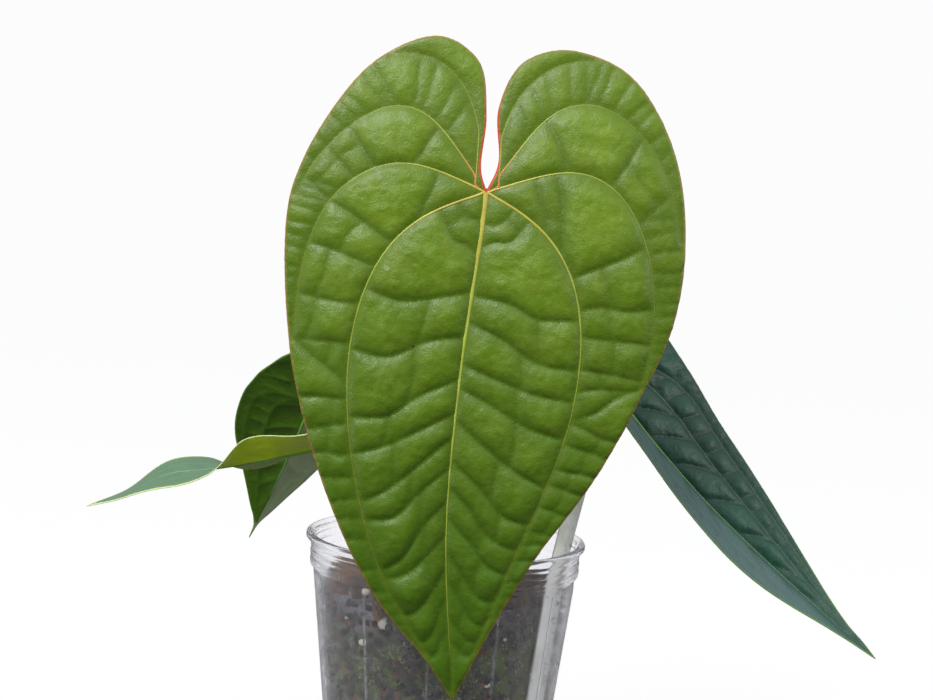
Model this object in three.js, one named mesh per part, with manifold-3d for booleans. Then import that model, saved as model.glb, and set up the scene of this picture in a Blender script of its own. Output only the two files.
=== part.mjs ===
// Potted anthurium: four heart-shaped leaves on long stalks, rising from a short stem
// that is rooted in a clear pot of bark mix, with a plant label pushed in beside the wall.
// Millimetres, +Z up. The origin is the middle of the pot's flat underside. The big leaf
// hangs in front of the pot, towards -Y.
import * as THREE from 'three';
import { mergeVertices } from 'three/addons/utils/BufferGeometryUtils.js';
import Module from 'manifold-3d';

const wasm = await Module();
wasm.setup();

// ---- driving dimensions ----------------------------------------------------------------
const GAP = 0.35;                 // clearance between pieces that touch

const POT_HEIGHT = 110;
const LIP_RADIUS = 60;            // outside of the rolled lip
const COLLAR_RADIUS = 57.8;       // the straighter band below the lip
const COLLAR_FOOT = 96.5;         // height where the collar steps in to the tapered wall
const WALL_TOP_RADIUS = 56.6;
const WALL_FOOT_RADIUS = 45.4;
const WALL = 1.1;
const FLOOR = 2;
const RING_HEIGHTS = [98.2, 101.6, 105];   // stacking rings round the collar
const RING_STAND = 0.5;
const RIB_COUNT = 12;             // upright mouldings down the tapered wall
const RIB_FIRST_ANGLE = -125;     // degrees from +X
const RIB_WIDTH = 1.3;
const RIB_STAND = 0.45;
const DRAIN_HOLES = 8;
const DRAIN_RADIUS = 4;
const DRAIN_CIRCLE = 31;
const ROUND_SIDES = 48;

const MIX_EDGE = 90;              // height of the mix at the wall
const MIX_CROWN = 92.5;           // and at the middle
const STEM_FOOT = 74;
const STEM_TOP = 101;
const STEM_RADIUS = 7;

const BLADE_THICK = 1;
const LABEL = { width: 13.5, thick: 0.8, foot: 9, top: 141, point: 16, y: -23.5, turn: 0.96 };

// ---- materials -------------------------------------------------------------------------
function material(colour, roughness, extra = {}) {
  return new THREE.MeshStandardMaterial({ color: colour, roughness, metalness: 0, ...extra });
}
const clearPlastic = material(0xd9dce4, 0.2, { transparent: true, opacity: 0.45 });
const mixMaterial = material(0x4b443c, 0.95);
const barkMaterial = material(0x5b4433, 0.9);
const perliteMaterial = material(0xe2dcc8, 0.85);
const freshLeaf = material(0x6f9632, 0.42);
const oldLeaf = material(0x35563f, 0.5);
const stalkMaterial = material(0x7f9a45, 0.5);
const sheathMaterial = material(0x8d7550, 0.75);
const rootMaterial = material(0xb9ad8c, 0.75);
const labelMaterial = material(0xe9e8e2, 0.5);

// ---- small helpers ---------------------------------------------------------------------
const radians = THREE.MathUtils.degToRad;
const vec = (p) => new THREE.Vector3(...p);
const group = new THREE.Group();

function add(name, geometry, meshMaterial) {
  const mesh = new THREE.Mesh(geometry, meshMaterial);
  mesh.name = name;
  group.add(mesh);
  return mesh;
}

// A repeatable stream of numbers from 0 to 1.
function randomStream(seed) {
  let state = seed;
  return () => {
    state = (state * 16807) % 2147483647;
    return state / 2147483647;
  };
}

// A smooth curve through rows of [where, value, value...], with `where` rising; straight beyond.
function curveThrough(rows) {
  const last = rows.length - 1;
  const width = rows[0].length - 1;
  const rise = (i, k) => (rows[i + 1][k + 1] - rows[i][k + 1]) / (rows[i + 1][0] - rows[i][0]);
  const slopes = rows.map((row, i) => Array.from({ length: width }, (_, k) => {
    if (i === 0) return rise(0, k);
    if (i === last) return rise(last - 1, k);
    const before = row[0] - rows[i - 1][0];
    const after = rows[i + 1][0] - row[0];
    return (rise(i - 1, k) * after + rise(i, k) * before) / (before + after);
  }));
  return (t) => {
    if (t < rows[0][0] || t > rows[last][0]) {
      const end = t < rows[0][0] ? 0 : last;
      return slopes[end].map((slope, k) => rows[end][k + 1] + (t - rows[end][0]) * slope);
    }
    let i = 0;
    while (i < last - 1 && rows[i + 1][0] <= t) i += 1;
    const span = rows[i + 1][0] - rows[i][0];
    const s = (t - rows[i][0]) / span;
    return slopes[i].map((slope, k) => {
      const easeIn = (1 + 2 * s) * (1 - s) * (1 - s) * rows[i][k + 1];
      const easeOut = s * s * (3 - 2 * s) * rows[i + 1][k + 1];
      const bend = s * (1 - s) * ((1 - s) * slope - s * slopes[i + 1][k]);
      return easeIn + easeOut + span * bend;
    });
  };
}

function geometryOf(positions) {
  const geometry = new THREE.BufferGeometry();
  geometry.setAttribute('position', new THREE.Float32BufferAttribute(positions, 3));
  const merged = mergeVertices(geometry, 1e-3);
  merged.computeVertexNormals();
  return merged;
}

// ---- joining and cutting ---------------------------------------------------------------
function solidOf(geometry) {
  const bare = geometry.clone();
  for (const name of Object.keys(bare.attributes)) {
    if (name !== 'position') bare.deleteAttribute(name);
  }
  const merged = mergeVertices(bare, 1e-3);
  return new wasm.Manifold(new wasm.Mesh({
    numProp: 3,
    vertProperties: merged.attributes.position.array,
    triVerts: new Uint32Array(merged.index.array),
  }));
}

function geometryOfSolid(solid) {
  const mesh = solid.getMesh();
  const positions = [];
  for (const v of mesh.triVerts) {
    positions.push(...mesh.vertProperties.subarray(v * mesh.numProp, v * mesh.numProp + 3));
  }
  return geometryOf(positions);
}

// ---- pot -------------------------------------------------------------------------------
const wallRadius = (z) => WALL_FOOT_RADIUS
  + (WALL_TOP_RADIUS - WALL_FOOT_RADIUS) * (z / COLLAR_FOOT);
const innerRadius = (z) => wallRadius(z) - WALL;

// A lathe about +Z from [radius, height] pairs.
function turned(profile, sides = ROUND_SIDES) {
  const points = profile.map(([r, z]) => new THREE.Vector2(r, z));
  return new THREE.LatheGeometry(points, sides).rotateX(Math.PI / 2);
}

function potGeometry() {
  const ring = (z) => [
    [COLLAR_RADIUS, z - 0.7], [COLLAR_RADIUS + RING_STAND, z], [COLLAR_RADIUS, z + 0.7],
  ];
  const collarInside = COLLAR_RADIUS - WALL;
  const shell = solidOf(turned([
    [0, 0], [WALL_FOOT_RADIUS - 1, 0], [WALL_FOOT_RADIUS + 0.15, 1.2],
    [wallRadius(COLLAR_FOOT - 1.4), COLLAR_FOOT - 1.4], [COLLAR_RADIUS, COLLAR_FOOT],
    ...RING_HEIGHTS.flatMap(ring),
    [COLLAR_RADIUS, POT_HEIGHT - 2.6], [LIP_RADIUS, POT_HEIGHT - 2.2],
    [LIP_RADIUS, POT_HEIGHT - 0.6], [LIP_RADIUS - 0.6, POT_HEIGHT],
    [collarInside, POT_HEIGHT], [collarInside, COLLAR_FOOT + 0.4],
    [innerRadius(COLLAR_FOOT - 1.4), COLLAR_FOOT - 1.4], [innerRadius(FLOOR + 1), FLOOR + 1],
    [innerRadius(FLOOR) - 1, FLOOR], [0, FLOOR],
  ]));
  const drain = new THREE.CylinderGeometry(DRAIN_RADIUS, DRAIN_RADIUS, 3 * FLOOR, 16)
    .rotateX(Math.PI / 2).translate(DRAIN_CIRCLE, 0, FLOOR / 2);
  let pot = shell;
  for (let i = 0; i < DRAIN_HOLES; i += 1) {
    pot = pot.subtract(solidOf(drain.clone().rotateZ(i * 2 * Math.PI / DRAIN_HOLES)));
  }
  for (let i = 0; i < RIB_COUNT; i += 1) {
    pot = pot.add(solidOf(ribGeometry(radians(RIB_FIRST_ANGLE + i * 360 / RIB_COUNT))));
  }
  return geometryOfSolid(pot);
}

// A slim upright moulding that follows the tapered wall.
function ribGeometry(angle) {
  const foot = 5;
  const head = COLLAR_FOOT - 4;
  const sink = WALL / 2;
  const side = new THREE.Shape([
    new THREE.Vector2(wallRadius(foot) - sink, foot),
    new THREE.Vector2(wallRadius(foot) + RIB_STAND / 2, foot),
    new THREE.Vector2(wallRadius(foot + 3) + RIB_STAND, foot + 3),
    new THREE.Vector2(wallRadius(head - 3) + RIB_STAND, head - 3),
    new THREE.Vector2(wallRadius(head) + RIB_STAND / 2, head),
    new THREE.Vector2(wallRadius(head) - sink, head),
  ]);
  return new THREE.ExtrudeGeometry(side, { depth: RIB_WIDTH, bevelEnabled: false })
    .translate(0, 0, -RIB_WIDTH / 2).rotateX(Math.PI / 2).rotateZ(angle);
}

// ---- sheets: a leaf blade or a sheath is a grid of points with a front and a back -------
// rows[r][c] holds { front, back }. A row of one repeated point is a tip.
function sheetPositions(rows, { turnedOver = false, innerWallRows = rows.length, closedEnds = false }) {
  const out = [];
  const triangle = (a, b, c) => {
    if (a.equals(b) || b.equals(c) || c.equals(a)) return;
    const order = turnedOver ? [a, c, b] : [a, b, c];
    order.forEach((p) => out.push(p.x, p.y, p.z));
  };
  const quad = (a, b, c, d) => {
    triangle(a, b, c);
    triangle(a, c, d);
  };
  const lastColumn = rows[0].length - 1;
  for (let r = 0; r < rows.length - 1; r += 1) {
    const [upper, lower] = [rows[r], rows[r + 1]];
    for (let c = 0; c < lastColumn; c += 1) {
      quad(lower[c].front, lower[c + 1].front, upper[c + 1].front, upper[c].front);
      quad(upper[c].back, upper[c + 1].back, lower[c + 1].back, lower[c].back);
    }
    const [outerUp, outerLow] = [upper[lastColumn], lower[lastColumn]];
    quad(outerLow.front, outerLow.back, outerUp.back, outerUp.front);
    if (r < innerWallRows) quad(upper[0].front, upper[0].back, lower[0].back, lower[0].front);
  }
  if (closedEnds) {
    const [first, last] = [rows[0], rows.at(-1)];
    for (let c = 0; c < lastColumn; c += 1) {
      quad(first[c].front, first[c + 1].front, first[c + 1].back, first[c].back);
      quad(last[c].back, last[c + 1].back, last[c + 1].front, last[c].front);
    }
  }
  return out;
}

// ---- leaf blades -----------------------------------------------------------------------
// A blade lies on its midrib. Along the midrib, `along` is the distance up from the point
// where the stalk joins: the lobes are above it and the tip is below. `across` is the
// direction of the blade's right half, `fold` lifts each half towards the upper face, and
// `curl` bends it further, in degrees for each 10 mm.
// Each half's outline is [distance from the midrib, along] from the join, up round the lobe
// and down to the tip.
const LOBE_ROWS = 7;
const BODY_ROWS = 14;
const COLUMNS = 4;

function bladeSurface(midrib) {
  const at = curveThrough(midrib.toReversed().map((k) => [
    k.along, ...k.at, ...k.across, ...(k.fold ?? [5, 5]), ...(k.curl ?? [0, 0]),
  ]));
  const step = 0.5;
  return (distance, along, side, lift) => {
    const row = at(along);
    const centre = vec(row.slice(0, 3));
    const up = vec(at(along + step).slice(0, 3)).sub(vec(at(along - step).slice(0, 3))).normalize();
    const across = vec(row.slice(3, 6));
    across.addScaledVector(up, -across.dot(up)).normalize();
    const outward = new THREE.Vector3().crossVectors(across, up);
    const right = side > 0 ? 1 : 0;
    const fold = radians(row[6 + right]);
    const curl = radians(row[8 + right]) / 10 || 1e-9;
    const end = fold + curl * distance;
    const reach = (Math.sin(end) - Math.sin(fold)) / curl;
    const height = (Math.cos(fold) - Math.cos(end)) / curl;
    const tilt = distance === 0 ? 0 : end;
    return centre
      .addScaledVector(across, side * (reach - lift * Math.sin(tilt)))
      .addScaledVector(outward, height + lift * Math.cos(tilt));
  };
}

// Where each half's outline crosses a line across the blade, from the inside outwards.
function outlineCrossings(outline) {
  const curve = curveThrough(outline.map(([distance, along], i) => [i, distance, along]));
  const samples = [];
  const fine = 12;
  for (let i = 0; i <= (outline.length - 1) * fine; i += 1) samples.push(curve(i / fine));
  const top = samples.reduce((best, p, i) => (p[1] > samples[best][1] ? i : best), 0);
  const crossing = (points, along) => {
    for (let i = 1; i < points.length; i += 1) {
      const [a, b] = [points[i - 1], points[i]];
      if ((a[1] - along) * (b[1] - along) <= 0 && a[1] !== b[1]) {
        return Math.max(0, a[0] + (b[0] - a[0]) * (along - a[1]) / (b[1] - a[1]));
      }
    }
    return 0;
  };
  const inner = samples.slice(0, top + 1);
  const outer = samples.slice(top);
  return {
    top: samples[top][1],
    peak: samples[top][0],
    tip: samples.at(-1)[1],
    at: (along) => [along > 0 ? crossing(inner, along) : 0, crossing(outer, along)],
  };
}

function bladeGeometry({ midrib, right, left }) {
  const point = bladeSurface(midrib);
  const positions = [];
  for (const [side, outline] of [[1, right], [-1, left]]) {
    const edge = outlineCrossings(outline);
    const heights = [];
    for (let i = 0; i < LOBE_ROWS; i += 1) {
      heights.push(edge.top * Math.cos(i / LOBE_ROWS * Math.PI / 2));
    }
    for (let i = 0; i <= BODY_ROWS; i += 1) heights.push(edge.tip * i / BODY_ROWS);
    const rows = heights.map((along, r) => {
      const ends = r === 0 ? [edge.peak, edge.peak] : edge.at(along);
      if (r === heights.length - 1) ends.fill(0);
      return Array.from({ length: COLUMNS + 1 }, (_, c) => {
        const share = c / COLUMNS;
        const distance = ends[0] + (ends[1] - ends[0]) * share;
        const lift = BLADE_THICK / 2 * (1 - 0.4 * share);
        return {
          front: point(distance, along, side, lift),
          back: point(distance, along, side, -lift),
        };
      });
    });
    for (const row of [rows[0], rows.at(-1)]) row.fill(row[0]);
    positions.push(...sheetPositions(rows, { turnedOver: side < 0, innerWallRows: LOBE_ROWS }));
  }
  return geometryOf(positions);
}

// ---- stalks ----------------------------------------------------------------------------
// A leaf stalk: thicker at its foot, and swollen for the last stretch below the blade.
function stalkGeometry(points, { foot = 2.6, slim = 1.7, knee = 2.4, kneeLength = 15 }) {
  const path = new THREE.CatmullRomCurve3(points.map(vec), false, 'centripetal');
  const steps = 14;
  const sides = 8;
  const length = path.getLength();
  const frames = path.computeFrenetFrames(steps, false);
  const radiusAt = (share) => {
    const fromKnee = (1 - share) * length / kneeLength;
    const swell = fromKnee < 1 ? Math.sin(Math.PI * Math.min(1, fromKnee + 0.25)) : 0;
    return THREE.MathUtils.lerp(foot, slim, Math.min(1, share * 2.2)) + (knee - slim) * swell;
  };
  const rings = [];
  for (let i = 0; i <= steps; i += 1) {
    const centre = path.getPointAt(i / steps);
    const radius = radiusAt(i / steps);
    rings.push(Array.from({ length: sides }, (_, s) => centre.clone()
      .addScaledVector(frames.normals[i], radius * Math.cos(2 * Math.PI * s / sides))
      .addScaledVector(frames.binormals[i], radius * Math.sin(2 * Math.PI * s / sides))));
  }
  const out = [];
  const triangle = (...corners) => corners.forEach((p) => out.push(p.x, p.y, p.z));
  for (let s = 0; s < sides; s += 1) {
    const next = (s + 1) % sides;
    for (let i = 0; i < steps; i += 1) {
      triangle(rings[i][s], rings[i][next], rings[i + 1][next]);
      triangle(rings[i][s], rings[i + 1][next], rings[i + 1][s]);
    }
    triangle(path.getPointAt(0), rings[0][next], rings[0][s]);
    triangle(path.getPointAt(1), rings[steps][s], rings[steps][next]);
  }
  return geometryOf(out);
}

// ---- roots -----------------------------------------------------------------------------
function rootGeometry(points, radius) {
  const path = new THREE.CatmullRomCurve3(points.map(vec));
  const section = new THREE.Shape().absarc(0, 0, radius, 0, 2 * Math.PI);
  return new THREE.ExtrudeGeometry(section, { steps: 9, curveSegments: 4, extrudePath: path });
}

// Thick roots leave the stem just above the mix, arch outwards and go down into it.
const ROOT_RADIUS = 1.7;
const rootPaths = [200, 262, 318, 20, 96].map((degrees, i) => {
  const reach = 20 + 3 * (i % 3);
  const out = (r, z, swing = 0) => [
    r * Math.cos(radians(degrees + swing)), r * Math.sin(radians(degrees + swing)), z,
  ];
  const start = STEM_RADIUS + ROOT_RADIUS / 2 + GAP;
  return [
    out(start, 96.5), out(start + 4, 97, 5), out(reach - 4, 95, 12),
    out(reach, 90, 16), out(reach + 2, 82, 18),
  ];
});

// ---- stem ------------------------------------------------------------------------------
function stemGeometry(extra = 0) {
  const r = STEM_RADIUS + extra;
  return turned([
    [0, STEM_FOOT - extra], [r * 0.6, STEM_FOOT - extra], [r * 0.9, STEM_FOOT + 3],
    [r, 84], [r * 0.94, 88], [r, 90], [r * 0.93, 94.5], [r, 96.5],
    [r * 0.97, 99], [r * 0.9, STEM_TOP], [0, STEM_TOP],
  ], 20);
}

// ---- sheaths ---------------------------------------------------------------------------
// A dry papery sheath: a pointed, curved scale standing round the foot of the stalks.
function sheathGeometry(degrees, length, lean) {
  const foot = { radius: STEM_RADIUS + 2 * GAP + 0.05, z: STEM_TOP - 1.7 };
  const widest = radians(46);
  const steps = 7;
  const sideSteps = 4;
  const thick = 0.35;
  const rows = Array.from({ length: steps + 1 }, (_, r) => {
    const share = 1 - r / steps;
    const halfAngle = widest * Math.sqrt(1 - share ** 1.6);
    return Array.from({ length: sideSteps + 1 }, (_, c) => {
      const angle = radians(degrees) + halfAngle * (2 * c / sideSteps - 1);
      const z = foot.z + length * share;
      const place = (radius) => new THREE.Vector3(
        radius * Math.cos(angle), radius * Math.sin(angle), z,
      ).add(new THREE.Vector3(Math.cos(radians(degrees)), Math.sin(radians(degrees)), 0)
        .multiplyScalar(lean * share * share));
      return { front: place(foot.radius + thick), back: place(foot.radius - thick) };
    });
  });
  rows[0].fill(rows[0][0]);
  return geometryOf(sheetPositions(rows, { closedEnds: true }));
}

// ---- bark chips and perlite ------------------------------------------------------------
// A split chip of bark: a box with every corner moved a little.
function chipGeometry(length, width, height, random) {
  const box = new THREE.BoxGeometry(length, width, height);
  const bare = new THREE.BufferGeometry()
    .setAttribute('position', box.getAttribute('position')).setIndex(box.index);
  const merged = mergeVertices(bare, 1e-3);
  const p = merged.attributes.position;
  for (let i = 0; i < p.count; i += 1) {
    const shrink = 1 - 0.35 * random();
    p.setXYZ(i, p.getX(i) * shrink, p.getY(i) * (1 - 0.35 * random()), p.getZ(i) * shrink);
  }
  return merged;
}

function perliteGeometry(radius, random) {
  const ball = new THREE.IcosahedronGeometry(radius, 1);
  ball.deleteAttribute('normal');
  ball.deleteAttribute('uv');
  const merged = mergeVertices(ball, 1e-3);
  const p = merged.attributes.position;
  for (let i = 0; i < p.count; i += 1) {
    const shrink = 1 - 0.22 * random();
    p.setXYZ(i, p.getX(i) * shrink, p.getY(i) * shrink, p.getZ(i) * shrink);
  }
  return merged;
}

// The lowest point of the top of the mix under a piece this far from the axis.
function mixHeight(radius) {
  const share = Math.min(1, radius / innerRadius(MIX_EDGE));
  return MIX_CROWN - (MIX_CROWN - MIX_EDGE) * share;
}

// ---- plant label -----------------------------------------------------------------------
// The label stands against the inside of the wall, front right, and bends out over the lip.
// Its lower end is cut to a point. Each pair is a height and the label's X there.
const labelLine = curveThrough([
  [9, 37], [80, 44.5], [97, 46.5], [117, 50], [142, 55],
].map(([z, x]) => [z, x, LABEL.y]));

function labelGeometry(margin = 0, outwards = 0) {
  const across = vec([Math.cos(LABEL.turn), Math.sin(LABEL.turn), 0]);
  const steps = 10;
  const half = LABEL.width / 2 + margin;
  const rows = Array.from({ length: steps + 1 }, (_, r) => {
    const z = THREE.MathUtils.lerp(LABEL.top + margin, LABEL.foot - margin, r / steps);
    const up = vec([...labelLine(z + 1), z + 1]).sub(vec([...labelLine(z - 1), z - 1])).normalize();
    const face = new THREE.Vector3().crossVectors(across, up).normalize();
    const reach = half * Math.min(1, 0.15 + (z - LABEL.foot + margin) / LABEL.point);
    return [-1, 1].map((side) => {
      const middle = vec([...labelLine(z), z]).addScaledVector(across, side * reach);
      const thick = LABEL.thick / 2 + margin;
      return {
        front: middle.clone().addScaledVector(face, thick + outwards),
        back: middle.clone().addScaledVector(face, -thick),
      };
    });
  });
  return geometryOf(sheetPositions(rows, { closedEnds: true }));
}

// ---- pieces held against the wall, in pockets of the mix --------------------------------
const wallGrains = [
  { radius: 3.6, degrees: -117, z: 81 },
  { radius: 1.7, degrees: -129, z: 71 },
  { radius: 1.9, degrees: -66, z: 58 },
].map(({ radius, degrees, z }) => {
  const from = innerRadius(z - radius) - radius - GAP;
  return { radius, at: [from * Math.cos(radians(degrees)), from * Math.sin(radians(degrees)), z] };
});

// ---- bark mix --------------------------------------------------------------------------
function mixGeometry() {
  const edge = (z) => innerRadius(z) - GAP;
  const profile = [
    [0, FLOOR + GAP], [edge(FLOOR) - 1.2, FLOOR + GAP], [edge(FLOOR + 1.4), FLOOR + 1.4],
    [edge(MIX_EDGE - 1), MIX_EDGE - 1], [edge(MIX_EDGE) - 1, MIX_EDGE], [0, MIX_CROWN],
  ];
  let mix = solidOf(turned(profile)).subtract(solidOf(stemGeometry(GAP)));
  mix = mix.subtract(solidOf(labelGeometry(GAP, WALL)));
  for (const path of rootPaths) {
    const deeper = [...path.slice(0, -1), path.at(-1).map((v, k) => (k === 2 ? v - 2 * GAP : v))];
    mix = mix.subtract(solidOf(rootGeometry(deeper, ROOT_RADIUS + GAP)));
  }
  for (const grain of wallGrains) {
    const pocket = new THREE.SphereGeometry(grain.radius + 2 * GAP, 8, 6);
    mix = mix.subtract(solidOf(pocket.translate(...grain.at)));
  }
  return geometryOfSolid(mix);
}

// ---- the four leaves -------------------------------------------------------------------
// `rolled(degrees)` is a direction square to X: 0 is up and 90 faces the front.
const rolled = (degrees) => [0, -Math.sin(radians(degrees)), Math.cos(radians(degrees))];
const RIGHT_LEAF_ACROSS = [0.45, 0.81, 0.375];
const BACK_LEAF_ACROSS = [-0.93, 0.05, 0.3];

const leaves = {
  front: {
    material: freshLeaf,
    midrib: [
      { along: 60, at: [8, -67, 317] }, { along: 0, at: [8, -79, 257] },
      { along: -70, at: [2, -84, 187] }, { along: -130, at: [0, -82, 127] },
      { along: -198, at: [6, -74, 59] },
    ].map((k) => ({ ...k, across: [1, 0, 0], curl: [-1.5, -1.5] })),
    left: [[0, 0], [3, 10], [2, 30], [6, 50], [24, 58], [50, 43], [70, 8], [73, -30], [58, -90],
      [30, -150], [10, -180], [0, -198]],
    right: [[0, 0], [4, 12], [3, 32], [12, 50], [32, 55], [56, 43], [74, 8], [77, -40], [58, -98],
      [32, -144], [12, -177], [0, -198]],
    stalk: [[0.2, -4.4, 101.8], [0.4, -4.6, 108], [1.5, -6, 130], [5, -14, 190], [8, -42, 238], [8, -63, 252],
      [8, -76.4, 256.6]],
  },
  right: {
    material: oldLeaf,
    midrib: [
      { along: 38, at: [34, 18, 229], fold: [30, 19] },
      { along: 0, at: [61, 10, 187], fold: [30, 19] },
      { along: -65, at: [102, 0, 139], fold: [23, 19] },
      { along: -135, at: [155, -9, 93], fold: [10, 19] },
      { along: -176, at: [186, -12, 69], fold: [10, 19] },
    ].map((k) => ({ ...k, across: RIGHT_LEAF_ACROSS })),
    left: [[0, 0], [1.5, 6], [2, 14], [4, 23], [9, 31], [16, 36], [24, 35], [31, 29], [36.5, 19],
      [39.5, 8], [39, -5], [36, -18], [31.5, -32], [30, -45], [31.5, -62], [30.5, -78],
      [27.5, -97], [22, -114], [15, -130], [9, -144], [4.5, -158], [2, -168], [0, -176]],
    right: [[0, 0], [1.5, 6], [2, 14], [4, 23], [9, 31], [16, 36], [24, 35], [31, 29], [36.5, 19],
      [39.5, 8], [40, -5], [39.5, -20], [38, -34], [34, -56], [30.5, -76], [25.5, -95],
      [20, -111], [13, -130], [8, -144], [4, -157], [2, -168], [0, -176]],
    stalk: [[4.4, 0.2, 101.8], [4.7, 0.5, 108], [7.5, 2, 125], [19, 9, 158], [38, 14.5, 178], [51, 14.8, 184],
      [59, 11.9, 186]],
  },
  left: {
    material: oldLeaf,
    midrib: [
      { along: 18, at: [-28, 8, 151], across: rolled(66), fold: [-5, 15], curl: [50, 0] },
      { along: 0, at: [-45, 6, 146], across: rolled(72), fold: [-8, 15], curl: [60, 0] },
      { along: -19, at: [-64, 3, 142], across: rolled(75), fold: [-8, 15], curl: [25, 0] },
      { along: -44, at: [-88, 0, 136], across: rolled(60), fold: [14, 15] },
      { along: -61, at: [-104, -3, 133], across: rolled(108), fold: [2, 15] },
      { along: -75, at: [-118, -4, 131], across: rolled(120), fold: [0, 4] },
      { along: -100, at: [-140, -5, 120], across: rolled(103), fold: [0, 4] },
      { along: -117, at: [-154, -5, 115], across: rolled(105), fold: [0, 4] },
    ],
    left: [[0, 0], [1, 4], [1.5, 10], [4, 18], [9, 22], [15, 19], [19, 11], [20, 0], [19, -12],
      [17.5, -26], [16, -40], [13, -54], [11, -68], [8.5, -84], [5.2, -97], [2.5, -108],
      [0, -117]],
    right: [[0, 0], [1, 4], [1.5, 10], [4, 18], [9, 22], [15, 19], [19, 11], [20, 0], [19, -12],
      [18, -26], [16.5, -40], [14.5, -54], [12, -68], [8.5, -84], [5.2, -97], [2.5, -108],
      [0, -117]],
    stalk: [[-4.4, 0.2, 101.8], [-4.9, 0.5, 108], [-9, 1.5, 117], [-22, 4, 130], [-36, 5.5, 139.5],
      [-43.8, 5.6, 144.2]],
  },
  back: {
    material: oldLeaf,
    midrib: [
      { along: 25, at: [-59, 42, 175], fold: [46, 10] },
      { along: 0, at: [-65, 54, 158], fold: [46, 10] },
      { along: -50, at: [-80, 83, 121], fold: [46, 10] },
      { along: -96, at: [-97, 106, 83], fold: [30, 10] },
    ].map((k) => ({ ...k, across: BACK_LEAF_ACROSS })),
    left: [[0, 0], [1, 5], [1.2, 11], [3, 18], [8, 24], [14.5, 25], [20, 18.5], [24.5, 8.5],
      [28, 0], [30, -8], [31, -18], [30, -30], [27.5, -40], [23.5, -49], [17.5, -58],
      [10.5, -68], [5, -78], [1.2, -86], [0, -96]],
    right: [[0, 0], [1, 5], [1.2, 11], [3, 18], [8, 24], [14.5, 25], [20, 18.5], [24.5, 8.5],
      [28, 0], [30, -8], [32, -18], [32, -30], [30.5, -40], [27, -49], [21, -58], [14, -68],
      [7, -78], [1.2, -86], [0, -96]],
    stalk: [[0.2, 4.4, 101.8], [0, 4.8, 108], [-2.5, 9, 120], [-18, 22, 143], [-42, 38, 154.5],
      [-56, 47.5, 156.5], [-64.6, 52.4, 157]],
  },
};

// ---- assembly --------------------------------------------------------------------------
add('pot', potGeometry(), clearPlastic);
add('bark_mix', mixGeometry(), mixMaterial);
add('stem', stemGeometry(), sheathMaterial);
add('plant_label', labelGeometry(), labelMaterial);

for (const [name, leaf] of Object.entries(leaves)) {
  add(`leaf_blade_${name}`, bladeGeometry(leaf), leaf.material);
  add(`leaf_stalk_${name}`, stalkGeometry(leaf.stalk, {}), stalkMaterial);
}

rootPaths.forEach((path, i) => {
  add(`root_${i + 1}`, rootGeometry(path, ROOT_RADIUS), rootMaterial);
});

[[232, 26, 3], [128, 22, 5], [350, 19, 4]].forEach(([degrees, length, lean], i) => {
  add(`sheath_${i + 1}`, sheathGeometry(degrees, length, lean), sheathMaterial);
});

// Bark chips lie on the mix, spread by the golden angle and clear of the label and the roots.
const GOLDEN_ANGLE = 137.508;
const random = randomStream(20817);
const chips = [
  { radius: 42, turn: 2 }, { radius: 36, turn: 3 }, { radius: 45, turn: 4 },
  { radius: 33, turn: 5 }, { radius: 44, turn: 6 }, { radius: 38, turn: 8 },
  { radius: 46, turn: 9 }, { radius: 35, turn: 10 }, { radius: 44, turn: 12 },
  { radius: 40, turn: 14 },
];
chips.forEach(({ radius, turn }, i) => {
  const [length, width, height] = [11 + 5 * random(), 7 + 3 * random(), 4 + 2 * random()];
  const chip = add(`bark_chip_${i + 1}`, chipGeometry(length, width, height, random), barkMaterial);
  const angle = radians(turn * GOLDEN_ANGLE);
  chip.rotation.set(0, 0, angle + 2 * random());
  chip.position.set(radius * Math.cos(angle), radius * Math.sin(angle),
    mixHeight(Math.max(0, radius - length / 2)) + height / 2 + GAP);
});

wallGrains.forEach((grain, i) => {
  const bead = add(`perlite_${i + 1}`, perliteGeometry(grain.radius, random), perliteMaterial);
  bead.position.set(...grain.at);
});
const looseGrains = [
  { radius: 2.2, degrees: 150, from: 27 }, { radius: 1.8, degrees: 296, from: 26 },
  { radius: 2.4, degrees: 60, from: 28 }, { radius: 1.9, degrees: 232, from: 51 },
  { radius: 2.1, degrees: 345, from: 26 },
];
looseGrains.forEach(({ radius, degrees, from }, i) => {
  const name = `perlite_${wallGrains.length + i + 1}`;
  const bead = add(name, perliteGeometry(radius, random), perliteMaterial);
  bead.position.set(from * Math.cos(radians(degrees)), from * Math.sin(radians(degrees)),
    mixHeight(Math.max(0, from - radius)) + radius + GAP);
});

export default group;
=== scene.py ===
"""Potted anthurium: quilted heart-shaped leaves on long stalks, in a clear grow pot of bark mix.

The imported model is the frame. Shapes are drawn in millimetres and made in metres. The big leaf
hangs in front of the pot, towards -Y. Every CAD solid is replaced by a finer piece in its place,
but the finer pot's base is closed: it lacks the drain holes of the CAD pot.
"""

import math

import bmesh
import bpy
import numpy as np
from mathutils import Matrix, Vector, noise
from mathutils.geometry import delaunay_2d_cdt
from mathutils.kdtree import KDTree


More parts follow.
